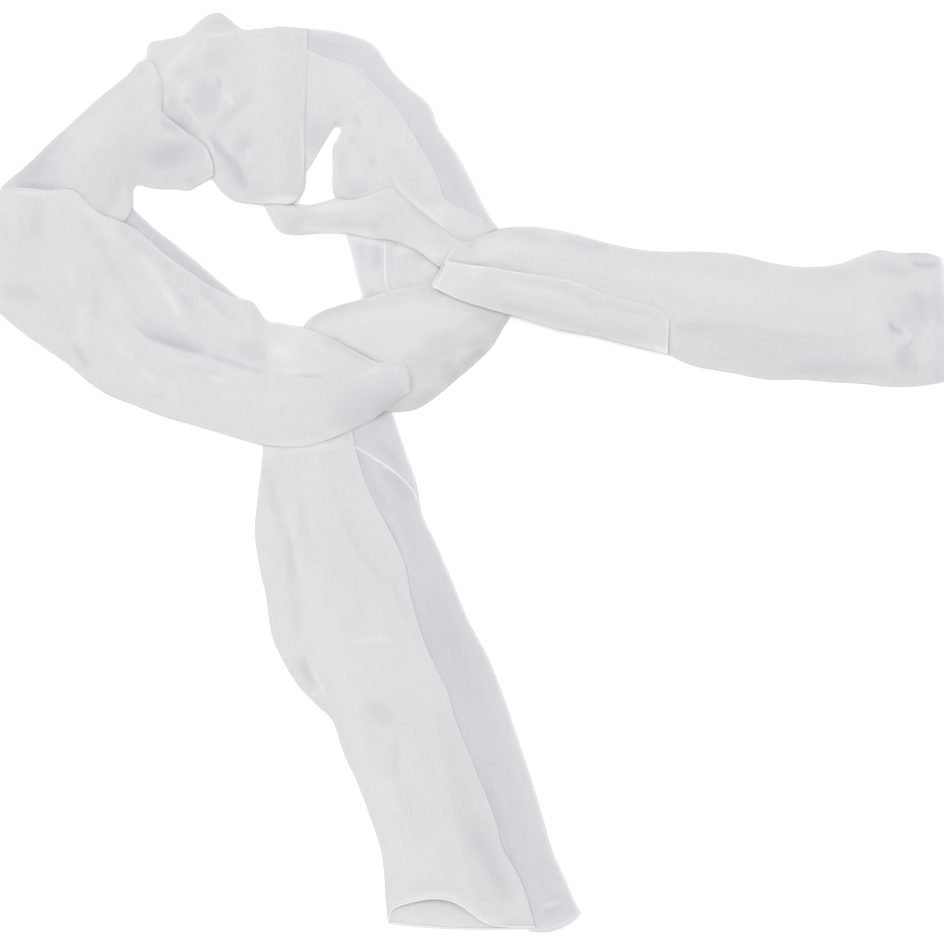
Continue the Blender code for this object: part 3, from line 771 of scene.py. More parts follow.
bendTop = {
    "node": "bend_top",
    "layerCount": 2,
    "restsOn": ("loop_edge", "loop_right", "inner_strip"),
    "sheer": 0.6,
    "cut": (0.23, 0.125),
    "lands": (0, 34),
    "rows": [
        (-230, 299, -228, 247, 4),
        (-228, 308, -219, 240, 5.5),
        (-215, 311, -210, 233, 7),
        (-203, 314, -202, 227, 8),
        (-194, 322, -193, 221, 9),
        (-186, 328, -184, 212, 9.5),
        (-178, 330, -177, 202, 9.5),
        (-170, 325, -168, 195, 9.5),
        (-161, 318, -160, 193, 10),
        (-152, 318, -149, 192, 10),
        (-143, 319, -138, 192, 9.5),
        (-133, 320, -127, 192, 9),
        (-125, 319, -120, 197, 8),
        (-118, 319, -116, 205, 7.5),
        (-114, 317, -117, 220, 6),
    ],
    "folds": [
        (0.34, 0.62, 0.68, 0.94, 0.1, -4.0),
        (0.05, 0.38, 0.66, 0.84, 0.14, -3.5),
        (0.2, 0.5, 0.3, 0.42, 0.12, -2.0),
        (0.55, 0.9, 0.45, 0.55, 0.14, 1.0),
    ],
    "creases": [
        (0.0, 2.5, 0.05, [(-213, 256), (-204, 249), (-196, 243)]),
        (-1.0, 2.4, -0.04, [(-218, 246), (-214, 251), (-210, 256)]),
        (-1.6, 3.4, -0.02, [(-217, 247), (-209, 248), (-200, 244), (-192, 239)]),
        (-1.5, 2.6, -0.12, [(-185, 242), (-180, 235), (-174, 228), (-168, 221)]),
        (-2.0, 4.6, -0.13, [(-173, 227), (-167, 219), (-163, 211), (-158, 202)]),
        (-0.6, 1.8, -0.05, [(-168, 224), (-164, 217), (-161, 208), (-158, 201)]),
        (1.0, 2.2, 0.04, [(-187, 241), (-184, 234), (-181, 225)]),
        (0.8, 1.0, 0.06, [(-175, 284), (-175, 273), (-176, 261), (-181, 253), (-189, 250)]),
        (0.8, 1.0, 0.07, [(-201, 263), (-199, 259), (-196, 255), (-192, 250)]),
        (-0.9, 1.4, -0.1, [(-202, 268), (-199, 264)]),
        (-0.9, 1.6, -0.1, [(-178, 284), (-177, 279), (-177, 274)]),
        (-0.8, 4.0, -0.06, [(-157, 276), (-158, 267), (-164, 260), (-173, 253), (-181, 247)]),
        (0.6, 1.2, 0.05, [(-158, 234), (-156, 227), (-154, 220)]),
        (0.8, 4.0, 0.05, [(-194, 307), (-203, 299), (-212, 290), (-220, 279)]),
        (0.7, 1.5, 0.055, [(-186, 314), (-176, 314), (-166, 315)]),
        (0.9, 6.0, 0.005, [(-145, 296), (-140, 260), (-134, 224), (-131, 202)]),
        (0.7, 1.2, 0.075, [(-120, 256), (-118, 238), (-117, 220), (-117, 208)]),
        (0.9, 3.0, 0.05, [(-174, 273), (-170, 267), (-166, 263)]),
        (0.9, 2.4, 0.04, [(-179, 202), (-166, 193), (-147, 192)]),
        (-0.8, 4.0, -0.03, [(-209, 287), (-203, 284), (-199, 287)]),
    ],
    "spots": [
        (-206, 247, 9, 5, -28, -1.0, -0.04),
        (-217, 266, 3, 9, 0, 0, 0.13),
        (-181, 210, 6, 5, 0, 0, 0.05),
        (-130, 194, 14, 4, 0, 0, 0.12),
        (-213, 257, 5, 4, 0, 0, 0.05),
        (-188, 268, 13, 14, 0, -1.0, -0.07),
        (-213, 269, 8, 9, 0, -0.6, -0.06),
        (-161, 235, 6, 10, -20, -0.5, -0.07),
        (-137, 249, 22, 50, 0, 0, 0.02),
        (-204, 286, 9, 6, 0, 0, -0.02),
        (-207, 274, 12, 12, 0, 0, 0.04),
        (-179, 322, 10, 6, 0, 0, -0.04),
        (-180, 297, 8, 10, 0, 0, -0.03),
        (-147, 198, 10, 14, 20, 0, -0.035),
    ],
}

bendLeft = {
    "node": "bend_left",
    "layerCount": 2,
    "restsOn": ("bend_top", "edge_strip"),
    "sheer": 0.6,
    "shade": 0.972,
    "lands": (0, 22),
    "bowFrom": 0.45,
    "endShape": [(0, 0), (0.1, -5), (0.2, -9), (0.33, -14.5), (0.42, -9), (0.5, -2), (0.6, 4.2),
                 (0.74, 6.5), (0.9, 4.3), (1, 0)],
    "cut": (0.163, 0.144),
    "rows": [
        (-340, 194, -292, 166, 3.5),
        (-333, 206, -267, 171, 5),
        (-321, 216, -251, 176, 6),
        (-310, 226, -242, 185, 7.5),
        (-300, 236, -240, 195, 8),
        (-289, 246, -240, 202, 9),
        (-277, 257, -236, 206, 9.5),
        (-266, 267, -228, 204, 9.5),
        (-255, 276, -219, 203, 9.5),
        (-245, 284, -210, 203, 9.5),
        (-235, 294, -200, 202, 9.5),
        (-226, 294, -192, 206, 9.5),
        (-220, 284, -186, 210, 9),
        (-218, 274, -182, 212, 8),
    ],
    "folds": [
        (0.12, 0.45, 0.84, 0.88, 0.07, -4.0),
        (0.0, 0.55, 0.1, 0.06, 0.1, -3.0),
        (0.5, 0.95, 0.72, 0.76, 0.12, -3.0),
        (0.25, 0.85, 0.42, 0.38, 0.1, 1.0),
    ],
    "creases": [
        (-1.2, 4.0, -0.09, [(-325, 204), (-314, 204), (-304, 204), (-289, 204)]),
        (-0.8, 10.0, -0.075, [(-328, 211), (-314, 220), (-298, 233), (-285, 243)]),
        (1.0, 7.0, 0.012, [(-284, 213), (-276, 224), (-265, 234), (-251, 244)]),
        (-0.2, 3.0, -0.1, [(-220, 253), (-214, 248), (-206, 243)]),
        (-0.2, 7.0, -0.035, [(-288, 246), (-264, 269), (-242, 286), (-228, 296)]),
        (0.8, 2.6, 0.055, [(-230, 296), (-226, 287), (-222, 277)]),
        (0.7, 1.0, 0.07, [(-220, 277), (-220, 267), (-220, 256), (-220, 246)]),
        (-1.0, 3.2, 0.01, [(-243, 207), (-243, 198), (-244, 189), (-246, 179)]),
        (0.4, 0.9, 0.09, [(-240, 193), (-240, 188), (-240, 182)]),
        (-0.8, 6.0, -0.01, [(-240, 231), (-239, 221), (-242, 210)]),
        (-1.6, 8.0, -0.045, [(-229, 218), (-216, 224), (-199, 231)]),
        (0.8, 3.0, 0.03, [(-230, 204), (-217, 203), (-202, 205), (-191, 210)]),
        (0.9, 2.4, 0.06, [(-220, 243), (-212, 240), (-202, 236)]),
        (0.8, 3.0, 0.06, [(-189, 238), (-184, 228), (-184, 215)]),
        (-0.3, 2.0, -0.04, [(-204, 208), (-199, 210), (-194, 211)]),
    ],
    "spots": [
        (-209, 226, 21, 11, 12, -1.2, -0.072),
        (-307, 211, 17, 10, 30, -0.6, -0.07),
    ],
}

tailPanel = {
    "node": "tail_panel",
    "layerCount": 1,
    "endBow": 5.0,
    "shade": 0.92,
    "cut": (0.042, 0.398),
    "hems": [
        [(-84, 19), (-77, 16), (-66, 9), (-51, -1), (-39, -13), (-33, -26)],
    ],
    "rows": [
        (-94, 45, -58, 50, 2),
        (-91, 30, -53, 40, 2),
        (-85, 12, -45, 17, 2),
        (-79, -10, -36, -9, 2),
        (-69, -32, -32, -31, 2),
        (-56, -53, -22, -52, 2),
        (-51, -78, -10, -80, 2),
        (-43, -107, 1, -107, 2),
        (-33, -132, 16, -135, 2),
        (-22, -165, 27, -163, 2),
        (-10, -190, 36, -190, 2),
        (3, -219, 46, -220, 2),
        (13, -246, 54, -246, 2),
        (19, -269, 61, -271, 2),
        (30, -291, 70, -292, 2),
        (40, -312, 78, -310, 2),
        (45, -331, 83, -318, 2),
    ],
    "folds": [
        (0.3, 1.2, 0.88, 0.88, 0.12, 1.0),
    ],
    "creases": [
        (0.0, 4.0, 0.045, [(-72, 9), (-58, -21), (-48, -50), (-42, -78), (-37, -107)]),
        (0.5, 5.0, 0.035, [(9, -136), (33, -194), (57, -262), (76, -309)]),
        (0.0, 9.0, -0.025, [(-27, -64), (-12, -107), (3, -158), (12, -197)]),
        (0.3, 4.0, 0.04, [(19, -212), (30, -251), (40, -284)]),
        (-0.3, 2.4, -0.04, [(30, -270), (37, -292), (48, -317)]),
        (-0.5, 4.0, -0.05, [(-78, 15), (-72, 1), (-65, -14), (-53, -32)]),
        (-0.6, 4.0, -0.09, [(-59, 1), (-49, -9), (-39, -23)]),
        (-0.3, 3.0, -0.06, [(-65, 22), (-55, 12), (-45, 2)]),
        (-0.3, 1.6, -0.03, [(56, -318), (65, -315), (72, -313)]),
        (0.5, 1.5, 0.07, [(53, -315), (60, -312), (69, -310)]),
    ],
    "layers": [
        (0.0, 8.0, 24, -0.16, 0, [(-49, -35), (-45, -55), (-39, -86), (-29, -122), (-19, -158),
                                  (-3, -208), (9, -266)]),
    ],
    "spots": [
        (-18, -122, 16, 34, 22, 0, -0.05),
        (-50, -35, 10, 22, 30, 0, -0.02),
        (24, -248, 10, 40, 20, 0, -0.06),
        (-56, 30, 7, 6, 0, 0.3, 0.03),
        (61, -319, 7, 4, 20, 0, -0.02),
    ],
}

tailLower = {
    "node": "tail_lower",
    "layerCount": 2,
    "restsOn": ("tail_panel",),
    "endBow": 3.0,
    "hemBack": [(0, 0.004), (0.04, 0.032), (0.15, 0.046), (0.3, 0.057), (0.42, 0.056),
                (0.51, 0.046), (0.6, 0.026), (0.7, 0.007), (1, 0)],
    "rimPaintedLight": 0.03,
    "sheer": 0.45,
    "shade": 1.027,
    "cut": (0.2, 0.39),
    "mouth": True,
    "blendedEdges": [(1, -0.1, 1.1)],
    "lowMouth": (0.4, 60, 0.45),
    "rows": [
        (-143, 42, -82, 45, 6),
        (-145, 27, -81, 25, 7.5),
        (-147, 6, -76, 4, 8),
        (-150, -19, -68, -18, 9),
        (-152, -43, -55, -42, 9),
        (-149, -67, -44, -66, 9),
        (-144, -90, -39, -91, 9.5),
        (-140, -117, -31, -119, 9.5),
        (-133, -134, -23, -138, 9.5),
        (-121, -154, -13, -158, 9),
        (-107, -169, -8, -176, 9),
        (-96, -180, -2, -192, 8),
        (-88, -203, 6, -212, 8),
        (-78, -225, 14, -231, 8),
        (-70, -246, 22, -253, 8),
        (-62, -270, 27, -272, 7.5),
        (-59, -289, 37, -289, 8.5),
        (-58, -307, 44, -306, 8.5),
        (-56, -325, 50, -328, 8.5),
    ],
    "folds": [
        (0.05, 0.55, 0.12, 0.3, 0.08, -2.0),
        (0.22, 0.62, 0.62, 0.8, 0.1, -2.0),
        (0.4, 0.6, 0.1, 0.06, 0.1, -2.0),
        (0.1, 0.5, 0.45, 0.48, 0.12, 1.0),
        (0.55, 0.95, 0.45, 0.6, 0.12, -1.0),
    ],
    "creases": [
        (0.0, 4.0, 0.06, [(-144, 16), (-127, 17), (-105, 18), (-86, 21)]),
        (0.0, 5.0, -0.045, [(-48, -306), (-24, -300), (-3, -302)]),
        (-1.4, 4.0, -0.045, [(-145, 6), (-138, -22), (-130, -44)]),
        (-1.6, 3.6, -0.075, [(-132, -37), (-128, -50), (-125, -71), (-124, -90)]),
        (-0.9, 4.0, -0.045, [(-125, -86), (-122, -102), (-120, -119)]),
        (0.5, 2.0, 0.04, [(-85, -123), (-68, -121), (-50, -120)]),
        (0.5, 1.3, 0.065, [(-112, -139), (-107, -150), (-100, -163)]),
        (-1.2, 4.5, -0.1, [(-120, -132), (-115, -145), (-109, -159)]),
        (-0.4, 3.0, -0.04, [(-50, -185), (-50, -201), (-50, -221)]),
        (-1.0, 6.0, -0.07, [(1, -246), (10, -269), (19, -289), (30, -312)]),
        (0.0, 6.0, -0.045, [(13, -248), (22, -280), (35, -320)]),
        (0.8, 8.0, 0.015, [(-107, -64), (-98, -107), (-84, -165), (-62, -237), (-33, -302)]),
        (-0.6, 3.0, -0.02, [(-120, 1), (-116, -35), (-107, -78)]),
        (0.6, 9.0, 0.015, [(-87, 8), (-75, -35), (-58, -78)]),
        (0.5, 4.0, 0.035, [(-144, 25), (-141, 18), (-140, 8)]),
        (-0.3, 1.2, -0.03, [(-138, 16), (-132, 16), (-125, 17)]),
        (0.3, 1.4, 0.05, [(-138, 19), (-132, 19), (-125, 19)]),
        (-0.3, 1.6, -0.01, [(-48, -319), (-33, -312), (-19, -311), (-3, -314)]),
        (0.4, 5.0, 0.03, [(-59, -222), (-55, -235), (-50, -248)]),
    ],
    "layers": [
        (0.6, 3.0, 14, -0.045, 0.01, [(-59, -86), (-73, -69), (-84, -53), (-93, -30)]),
        (0.5, 3.0, 14, -0.04, 0.01, [(-37, -125), (-48, -102), (-59, -78)]),
        (0.5, 9.0, 46, -0.045, 0.0, [(3, -312), (-10, -258), (-20, -208), (-30, -158)]),
    ],
    "spots": [
        (35, -326, 12, 4, 0, 0, -0.04),
        (-60, -175, 13, 8, -35, -0.8, -0.06),
        (-13, -284, 7, 10, 15, -0.4, -0.04),
        (-76, -129, 60, 40, 0, 0, 0.012),
        (3, -312, 26, 12, 0, 0, -0.035),
        (-137, -6, 16, 22, 0, 0, -0.03),
    ],
}

knotWrap = {
    "node": "knot_wrap",
    "layerCount": 2,
    "restsOn": ("neck_strip", "loop_right", "inner_strip", "tail_panel", "tail_lower"),
    "sheer": 0.0,
    "shade": 0.968,
    "blendedEdges": [(0, -0.1, 0.38), (1, -0.1, 0.5)],
    "cut": (0.158, 0.123),
    "rows": [
        (-10, 136, 33, 116, 10),
        (-19, 134, 31, 110, 11.5),
        (-28, 133, 26, 102, 13),
        (-42, 132, 19, 90, 14.5),
        (-58, 129, 6, 77, 15),
        (-74, 124, -8, 65, 15),
        (-89, 120, -21, 54, 15),
        (-106, 114, -33, 46, 14.5),
        (-117, 104, -43, 43, 13.5),
        (-115, 92, -54, 43, 13),
        (-108, 78, -66, 45, 12),
        (-98, 66, -76, 51, 10),
    ],
    "folds": [
        (0.1, 0.8, 0.35, 0.45, 0.1, -1.5),
        (0.1, 0.8, 0.62, 0.7, 0.1, 1.0),
    ],
    "creases": [
        (0.0, 9.0, -0.03, [(-115, 99), (-87, 114), (-51, 122), (-19, 128)]),
        (0.0, 2.5, 0.08, [(-20, 130), (6, 117), (30, 110)]),
        (-0.8, 7.0, -0.12, [(-117, 102), (-108, 112), (-89, 120), (-68, 125)]),
        (-1.5, 3.5, -0.12, [(-99, 97), (-84, 87), (-68, 79), (-55, 76)]),
        (-1.0, 3.0, -0.03, [(-48, 84), (-30, 82), (-12, 83), (1, 86)]),
        (0.6, 1.3, 0.04, [(-7, 86), (6, 89), (17, 92)]),
        (1.2, 9.0, 0.025, [(-87, 107), (-58, 107), (-30, 112), (-12, 114)]),
        (-2.0, 8.0, -0.105, [(-13, 130), (0, 123), (13, 117), (24, 110)]),
        (-1.0, 8.0, -0.06, [(23, 112), (22, 100), (13, 90)]),
        (0.4, 1.2, 0.08, [(-37, 66), (-36, 60), (-37, 53)]),
        (0.3, 1.0, 0.05, [(-28, 64), (-27, 61), (-27, 58)]),
        (-0.8, 6.0, -0.095, [(-53, 47), (-39, 48), (-26, 54), (-14, 63)]),
        (-0.8, 5.0, -0.09, [(-14, 80), (-12, 71), (-14, 61)]),
    ],
    "layers": [
        (0.8, 2.0, 30, -0.035, 0.01, [(-45, 86), (-30, 82), (-13, 81), (3, 86), (19, 92)]),
        (0.6, 1.2, 16, -0.09, 0.012, [(-14, 63), (-8, 75), (-1, 85)]),
    ],
    "spots": [
        (9, 121, 16, 9, -20, -1, -0.03),
        (28, 103, 6, 13, -25, 0, -0.09),
        (6, 80, 10, 4, 42, 0, -0.07),
        (10, 88, 10, 8, 0, 0, -0.11),
        (-52, 43, 6, 4, 0, 0, -0.09),
        (-19, 91, 14, 10, 0, 0, -0.045),
        (-24, 127, 14, 8, -25, 0, -0.045),
    ],
}

tailRight = {
    "node": "tail_right",
    "layerCount": 2,
    "restsOn": ("knot_wrap", "loop_right", "inner_strip", "neck_strip", "loop_edge"),
    "endBow": 4.0,
    "sheer": 0.5,
    "shade": 1.018,
    "cut": (0.16, 0.359),
    "mouth": True,
    "lands": (44, 0),
    "blendedEdges": [(0, -0.1, 0.1), (1, -0.1, 0.14)],
    "rows": [
        (-8, 163, -25, 134, 14),
        (10, 168, -6, 124, 16.5),
        (24, 174, 14, 118, 16.5),
        (40, 176, 32, 112, 15),
        (57, 175, 51, 107, 13),
        (77, 171, 70, 102, 11.5),
        (98, 165, 89, 99, 11),
        (121, 160, 117, 92, 10),
        (141, 158, 140, 86, 10),
        (166, 158, 163, 76, 9.5),
        (194, 156, 190, 71, 9.5),
        (219, 150, 217, 66, 9.5),
        (240, 147, 240, 66, 9.5),
        (264, 148, 264, 64, 9.5),
        (282, 154, 285, 63, 9.5),
        (297, 159, 302, 61, 9.5),
        (312, 157, 321, 61, 9.5),
        (330, 157, 337, 63, 9),
        (341, 154, 346, 65, 7.5),
    ],
    "folds": [
        (0.5, 0.95, 0.6, 0.66, 0.1, -1.5),
        (0.05, 0.55, 0.28, 0.3, 0.12, 1.0),
        (0.72, 1.0, 0.14, 0.2, 0.08, -2.0),
    ],
    "creases": [
        (0.0, 12.0, -0.025, [(53, 161), (168, 149), (240, 140), (305, 150)]),
        (-0.3, 7.0, -0.1, [(342, 166), (342, 123), (342, 87), (342, 55)]),
        (-0.6, 3.0, -0.055, [(-12, 147), (9, 148), (27, 146), (46, 142)]),
        (-0.6, 5.0, 0.01, [(30, 145), (50, 140), (74, 137), (92, 130), (111, 125), (139, 120),
                           (147, 107)]),
        (-0.5, 6.0, -0.06, [(24, 171), (40, 170), (59, 166)]),
        (-0.4, 5.0, -0.035, [(68, 168), (86, 163), (104, 159)]),
        (-0.3, 6.0, -0.035, [(24, 170), (64, 168), (111, 161), (147, 157)]),
        (0.7, 8.0, 0.015, [(39, 155), (96, 145), (168, 134), (240, 123), (291, 120)]),
        (-0.6, 3.0, -0.02, [(197, 155), (209, 150), (220, 145)]),
        (1.0, 2.0, 0.03, [(296, 159), (307, 153), (321, 146)]),
        (-1.2, 1.8, -0.14, [(320, 150), (328, 148), (340, 148)]),
        (0.4, 1.4, 0.0, [(318, 156), (328, 153), (337, 153)]),
        (0.0, 3.0, -0.06, [(315, 156), (326, 156), (338, 155)]),
        (-0.8, 5.0, -0.06, [(288, 149), (302, 145), (318, 142)]),
        (-1.4, 2.4, -0.13, [(304, 109), (307, 102), (314, 99)]),
        (1.0, 1.6, 0.075, [(310, 96), (315, 91), (318, 97), (314, 106)]),
        (-0.8, 1.2, -0.1, [(311, 88), (318, 91), (322, 96)]),
        (0.5, 2.0, 0.04, [(342, 150), (343, 138), (344, 120)]),
        (-0.5, 1.5, -0.045, [(323, 96), (323, 80), (323, 65)]),
        (-0.5, 4.0, -0.06, [(321, 130), (327, 119), (330, 102)]),
        (0.0, 2.5, 0.04, [(148, 107), (148, 99), (148, 89)]),
    ],
    "layers": [
        (0.6, 6.0, 30, -0.035, 0.0, [(148, 109), (168, 110), (204, 108), (231, 102), (255, 101),
                                     (282, 101), (301, 100)]),
    ],
    "spots": [
        (331, 120, 18, 14, 0, -0.5, -0.055),
        (315, 82, 7, 9, 0, -0.6, -0.09),
        (318, 105, 9, 11, 0, 0, -0.05),
        (321, 116, 24, 40, 0, 0, -0.028),
        (316, 150, 22, 12, 0, 0, -0.035),
        (266, 73, 38, 8, 2, 0, -0.065),
        (168, 102, 26, 8, 0, 0, -0.03),
        (262, 139, 24, 11, 0, 0, -0.035),
        (183, 130, 30, 12, 0, 0, 0.015),
        (226, 87, 40, 12, 0, 0, -0.025),
        (291, 112, 12, 18, 0, 0, 0.02),
        (323, 70, 30, 10, 0, 0, -0.04),
        (4, 163, 3.5, 3.5, 0, 0, -0.09),
    ],
}

tailFlap = {
    "node": "tail_flap",
    "layerCount": 1,
    "restsOn": ("tail_right",),
    "single": 0.15,
    "shade": 0.96,
    "rimPaintedLight": -0.02,
    "cut": (0.032, 0.168),
    "sheer": 0.3,
    "lands": (30, 24),
    "blendedEdges": [(0, -0.1, 1.1), (1, -0.1, 1.1)],
    "rows": [
        (-13, 151, -24, 132, 17),
        (4, 148, -5, 123, 17),
        (24, 145, 14, 117, 16.5),
        (42, 142, 33, 112, 14.5),
        (63, 139, 53, 106, 13),
        (81, 135, 71, 101, 12),
        (96, 128, 89, 98, 11.5),
        (114, 123, 109, 93, 11),
        (129, 120, 125, 89, 11),
        (140, 116, 138, 86, 10),
        (146, 107, 145, 84, 9.5),
    ],
    "creases": [
        (0.0, 3.0, -0.02, [(24, 140), (53, 135), (76, 128), (89, 121), (102, 117), (125, 113),
                           (137, 111)]),
        (0.0, 4.0, -0.1, [(24, 116), (43, 110), (57, 106), (82, 101), (111, 94), (136, 87)]),
        (0.5, 5.0, 0.04, [(17, 139), (39, 133), (68, 127), (89, 119)]),
        (-0.6, 5.0, -0.025, [(53, 114), (75, 109), (96, 104)]),
        (-0.4, 6.0, -0.03, [(96, 107), (118, 100), (138, 94)]),
        (-0.3, 3.0, -0.05, [(24, 120), (39, 117), (57, 113)]),
    ],
}

strandLeft = {
    "node": "strand_left",
    "layerCount": 2,
    "restsOn": ("bend_left", "edge_strip", "knot_wrap", "tail_lower", "tail_panel"),
    "sheer": 0.55,
    "shade": 1.016,
    "cut": (0.18, 0.338),
    "tips": (6, 8),
    "rows": [
        (-350, 168, -350, 149, 5),
        (-347, 190, -347, 130, 7.5),
        (-338, 202, -338, 116, 9),
        (-320, 204, -321, 101, 9.5),
        (-300, 202, -304, 89, 9.5),
        (-282, 202, -288, 78, 10),
        (-264, 186, -274, 66, 10),
        (-246, 179, -258, 55, 10),
        (-234, 172, -240, 48, 11),
        (-220, 159, -220, 40, 11),
        (-201, 145, -203, 35, 11.5),
        (-183, 133, -186, 30, 12),
        (-163, 124, -166, 24, 13.5),
        (-153, 121, -155, 21, 14.5),
        (-144, 109, -146, 19, 15),
        (-131, 106, -126, 17, 16.5),
        (-117, 103, -112, 18, 17.5),
        (-98, 96, -98, 23, 18.5),
        (-81, 87, -84, 29, 19),
        (-63, 78, -67, 37, 19.5),
        (-50, 81, -51, 50, 20.5),
        (-43, 75, -42, 56, 19.5),
        (-40, 68, -40, 60, 18.5),
    ],
    "folds": [
        (0.34, 0.58, 0.5, 0.5, 0.07, -5.0),
        (0.48, 0.9, 0.5, 0.12, 0.08, -2.0),
        (0.32, 0.54, 0.06, 0.4, 0.08, 2.0),
        (0.46, 0.85, 0.26, 0.18, 0.14, 1.5),
        (0.3, 0.9, 0.74, 0.66, 0.14, 1.0),
        (0.06, 0.34, 0.34, 0.42, 0.1, -2.0),
        (0.08, 0.3, 0.78, 0.7, 0.1, -1.5),
    ],
    "creases": [
        (0.0, 3.0, 0.06, [(-238, 171), (-220, 159), (-199, 146), (-181, 135)]),
        (0.0, 3.0, 0.05, [(-147, 19), (-120, 20), (-89, 25)]),
        (-0.6, 2.6, -0.08, [(-43, 58), (-50, 52), (-59, 45), (-68, 37)]),
        (1.6, 6.0, 0.045, [(-285, 205), (-269, 189), (-258, 178), (-249, 168), (-239, 161)]),
        (2.2, 4.6, 0.06, [(-242, 165), (-230, 154), (-218, 137), (-207, 116), (-197, 98)]),
        (-1.0, 6.0, -0.02, [(-275, 176), (-264, 162), (-251, 145), (-239, 126), (-230, 112)]),
        (0.6, 2.4, 0.045, [(-215, 129), (-209, 119), (-203, 109)]),
        (-1.2, 2.6, -0.07, [(-228, 99), (-215, 93), (-200, 88), (-187, 84)]),
        (-0.8, 1.8, -0.085, [(-187, 84), (-176, 80), (-163, 76), (-151, 72), (-140, 70)]),
        (-0.8, 1.2, -0.08, [(-122, 69), (-112, 68), (-102, 68)]),
        (0.6, 1.4, 0.055, [(-134, 71), (-120, 71), (-102, 71)]),
        (0.7, 1.5, 0.05, [(-82, 68), (-71, 70), (-59, 74)]),
        (-1.0, 4.5, -0.06, [(-193, 135), (-183, 125), (-173, 114), (-164, 107)]),
        (0.8, 4.0, 0.03, [(-192, 126), (-183, 117), (-176, 110)]),
        (-0.5, 3.0, -0.045, [(-203, 130), (-200, 122), (-197, 112)]),
        (-0.6, 5.0, -0.05, [(-310, 197), (-308, 184), (-310, 166)]),
        (0.6, 4.0, 0.03, [(-325, 192), (-325, 177), (-324, 163)]),
        (0.6, 4.0, 0.03, [(-284, 150), (-282, 139), (-281, 129)]),
        (0.6, 5.0, 0.03, [(-276, 123), (-275, 105), (-274, 87)]),
        (-0.7, 3.6, -0.02, [(-271, 184), (-269, 175), (-268, 165)]),
        (-0.8, 3.4, -0.08, [(-283, 93), (-278, 84), (-271, 74)]),
        (0.9, 3.0, 0.03, [(-253, 99), (-246, 87), (-239, 76)]),
        (0.6, 2.4, 0.04, [(-235, 74), (-228, 68), (-220, 63)]),
        (0.4, 2.4, 0.035, [(-187, 68), (-180, 66), (-171, 65)]),
        (-0.4, 3.0, -0.04, [(-233, 55), (-224, 54), (-215, 54)]),
        (-0.4, 3.0, -0.04, [(-199, 75), (-188, 72), (-176, 70)]),
        (1.0, 8.0, 0.02, [(-235, 71), (-199, 57), (-156, 48), (-112, 51)]),
        (0.0, 11.0, 0.025, [(-264, 71), (-206, 44), (-148, 30), (-91, 32), (-58, 43)]),
        (-0.8, 4.0, -0.035, [(-251, 176), (-242, 166), (-230, 155)]),
        (1.0, 6.0, 0.03, [(-143, 87), (-131, 82), (-118, 77)]),
        (-0.8, 4.0, -0.07, [(-112, 99), (-94, 91), (-76, 82), (-63, 76)]),
        (0.5, 1.2, 0.06, [(-330, 202), (-315, 200), (-300, 199)]),
        (-0.3, 1.8, -0.03, [(-49, 78), (-42, 70), (-41, 61)]),
    ],
    "layers": [
        (1.0, 7.0, 26, -0.05, 0.0, [(-202, 96), (-209, 114), (-219, 133), (-230, 150),
                                    (-246, 163), (-261, 176)]),
        (1.4, 1.6, 10, -0.13, 0.0, [(-186, 82), (-200, 85), (-215, 89), (-228, 94), (-239, 103)]),
        (0.4, 5.0, 34, -0.02, 0, [(-289, 94), (-302, 110), (-315, 123), (-331, 133)]),
        (0.3, 8.0, 46, -0.02, 0, [(-246, 123), (-258, 138), (-265, 153), (-268, 166)]),
    ],
    "spots": [
        (-320, 174, 16, 34, 0, 0, -0.02),
        (-257, 145, 15, 13, 0, 0, -0.015),
        (-265, 122, 5, 14, 0, 0, -0.03),
        (-322, 127, 13, 7, -20, 0, -0.06),
        (-130, 82, 14, 10, -20, 0.5, 0.045),
        (-72, 48, 26, 15, 35, 0, -0.04),
        (-91, 27, 14, 6, 10, 0, 0.04),
        (-56, 54, 13, 10, 40, 0, -0.04),
        (-82, 53, 22, 22, 0, 0, -0.03),
        (-153, 86, 13, 9, 0, 0, -0.05),
        (-56, 67, 10, 6, 0, 0, -0.04),
        (-55, 78, 8, 6, 0, 0, -0.05),
    ],
}


# One socket of a material's nodes. Sums on it add Math nodes.
class Thread:
    def __init__(self, tree, socket=None):
        self.tree, self.socket = tree, socket

    # Any node: its type, its settings, and the values or links of its sockets.
    def node(self, kind, settings=None, inputs=None, output=0):
        made = self.tree.nodes.new(kind)
        for name, value in (settings or {}).items():
            setattr(made, name, value)
        for name, value in (inputs or {}).items():
            if isinstance(value, Thread):
                self.tree.links.new(value.socket, made.inputs[name])
            else:
                made.inputs[name].default_value = value
        return Thread(self.tree, made.outputs[output])

    def sum(self, operation, *values):
        return self.node("ShaderNodeMath", {"operation": operation}, dict(enumerate(values)))

    def __add__(self, other):
        return self.sum("ADD", self, other)

    def __radd__(self, other):
        return self.sum("ADD", other, self)

    def __sub__(self, other):
        return self.sum("SUBTRACT", self, other)

    def __mul__(self, other):
        return self.sum("MULTIPLY", self, other)

    def __rmul__(self, other):
        return self.sum("MULTIPLY", other, self)


chiffon = {
    "folded": (0.872, 0.868, 0.887),
    "single": (0.850, 0.867, 0.908),
    "foldedCover": 0.97,  # share of what is behind that one wall hides
    "singleCover": 0.85,
    "threads": 1.6,  # thread streaks to the millimetre
    "streak": 0.05,  # their width as a share of their length
    "crinkle": 0.45,  # crinkles to each thread streak
    "uneven": 0.08,  # how much the threads vary in brightness
    "bump": 0.25,
    "bumpDepth": 0.0003,
    "roughness": 0.85,
    "shine": 0.2,
    "sheen": 0.15,
    "sheenRoughness": 0.5,
    "scatter": 0.75,  # light wanders this share of the way into the cloth
    "scatterReach": 0.0006,
}
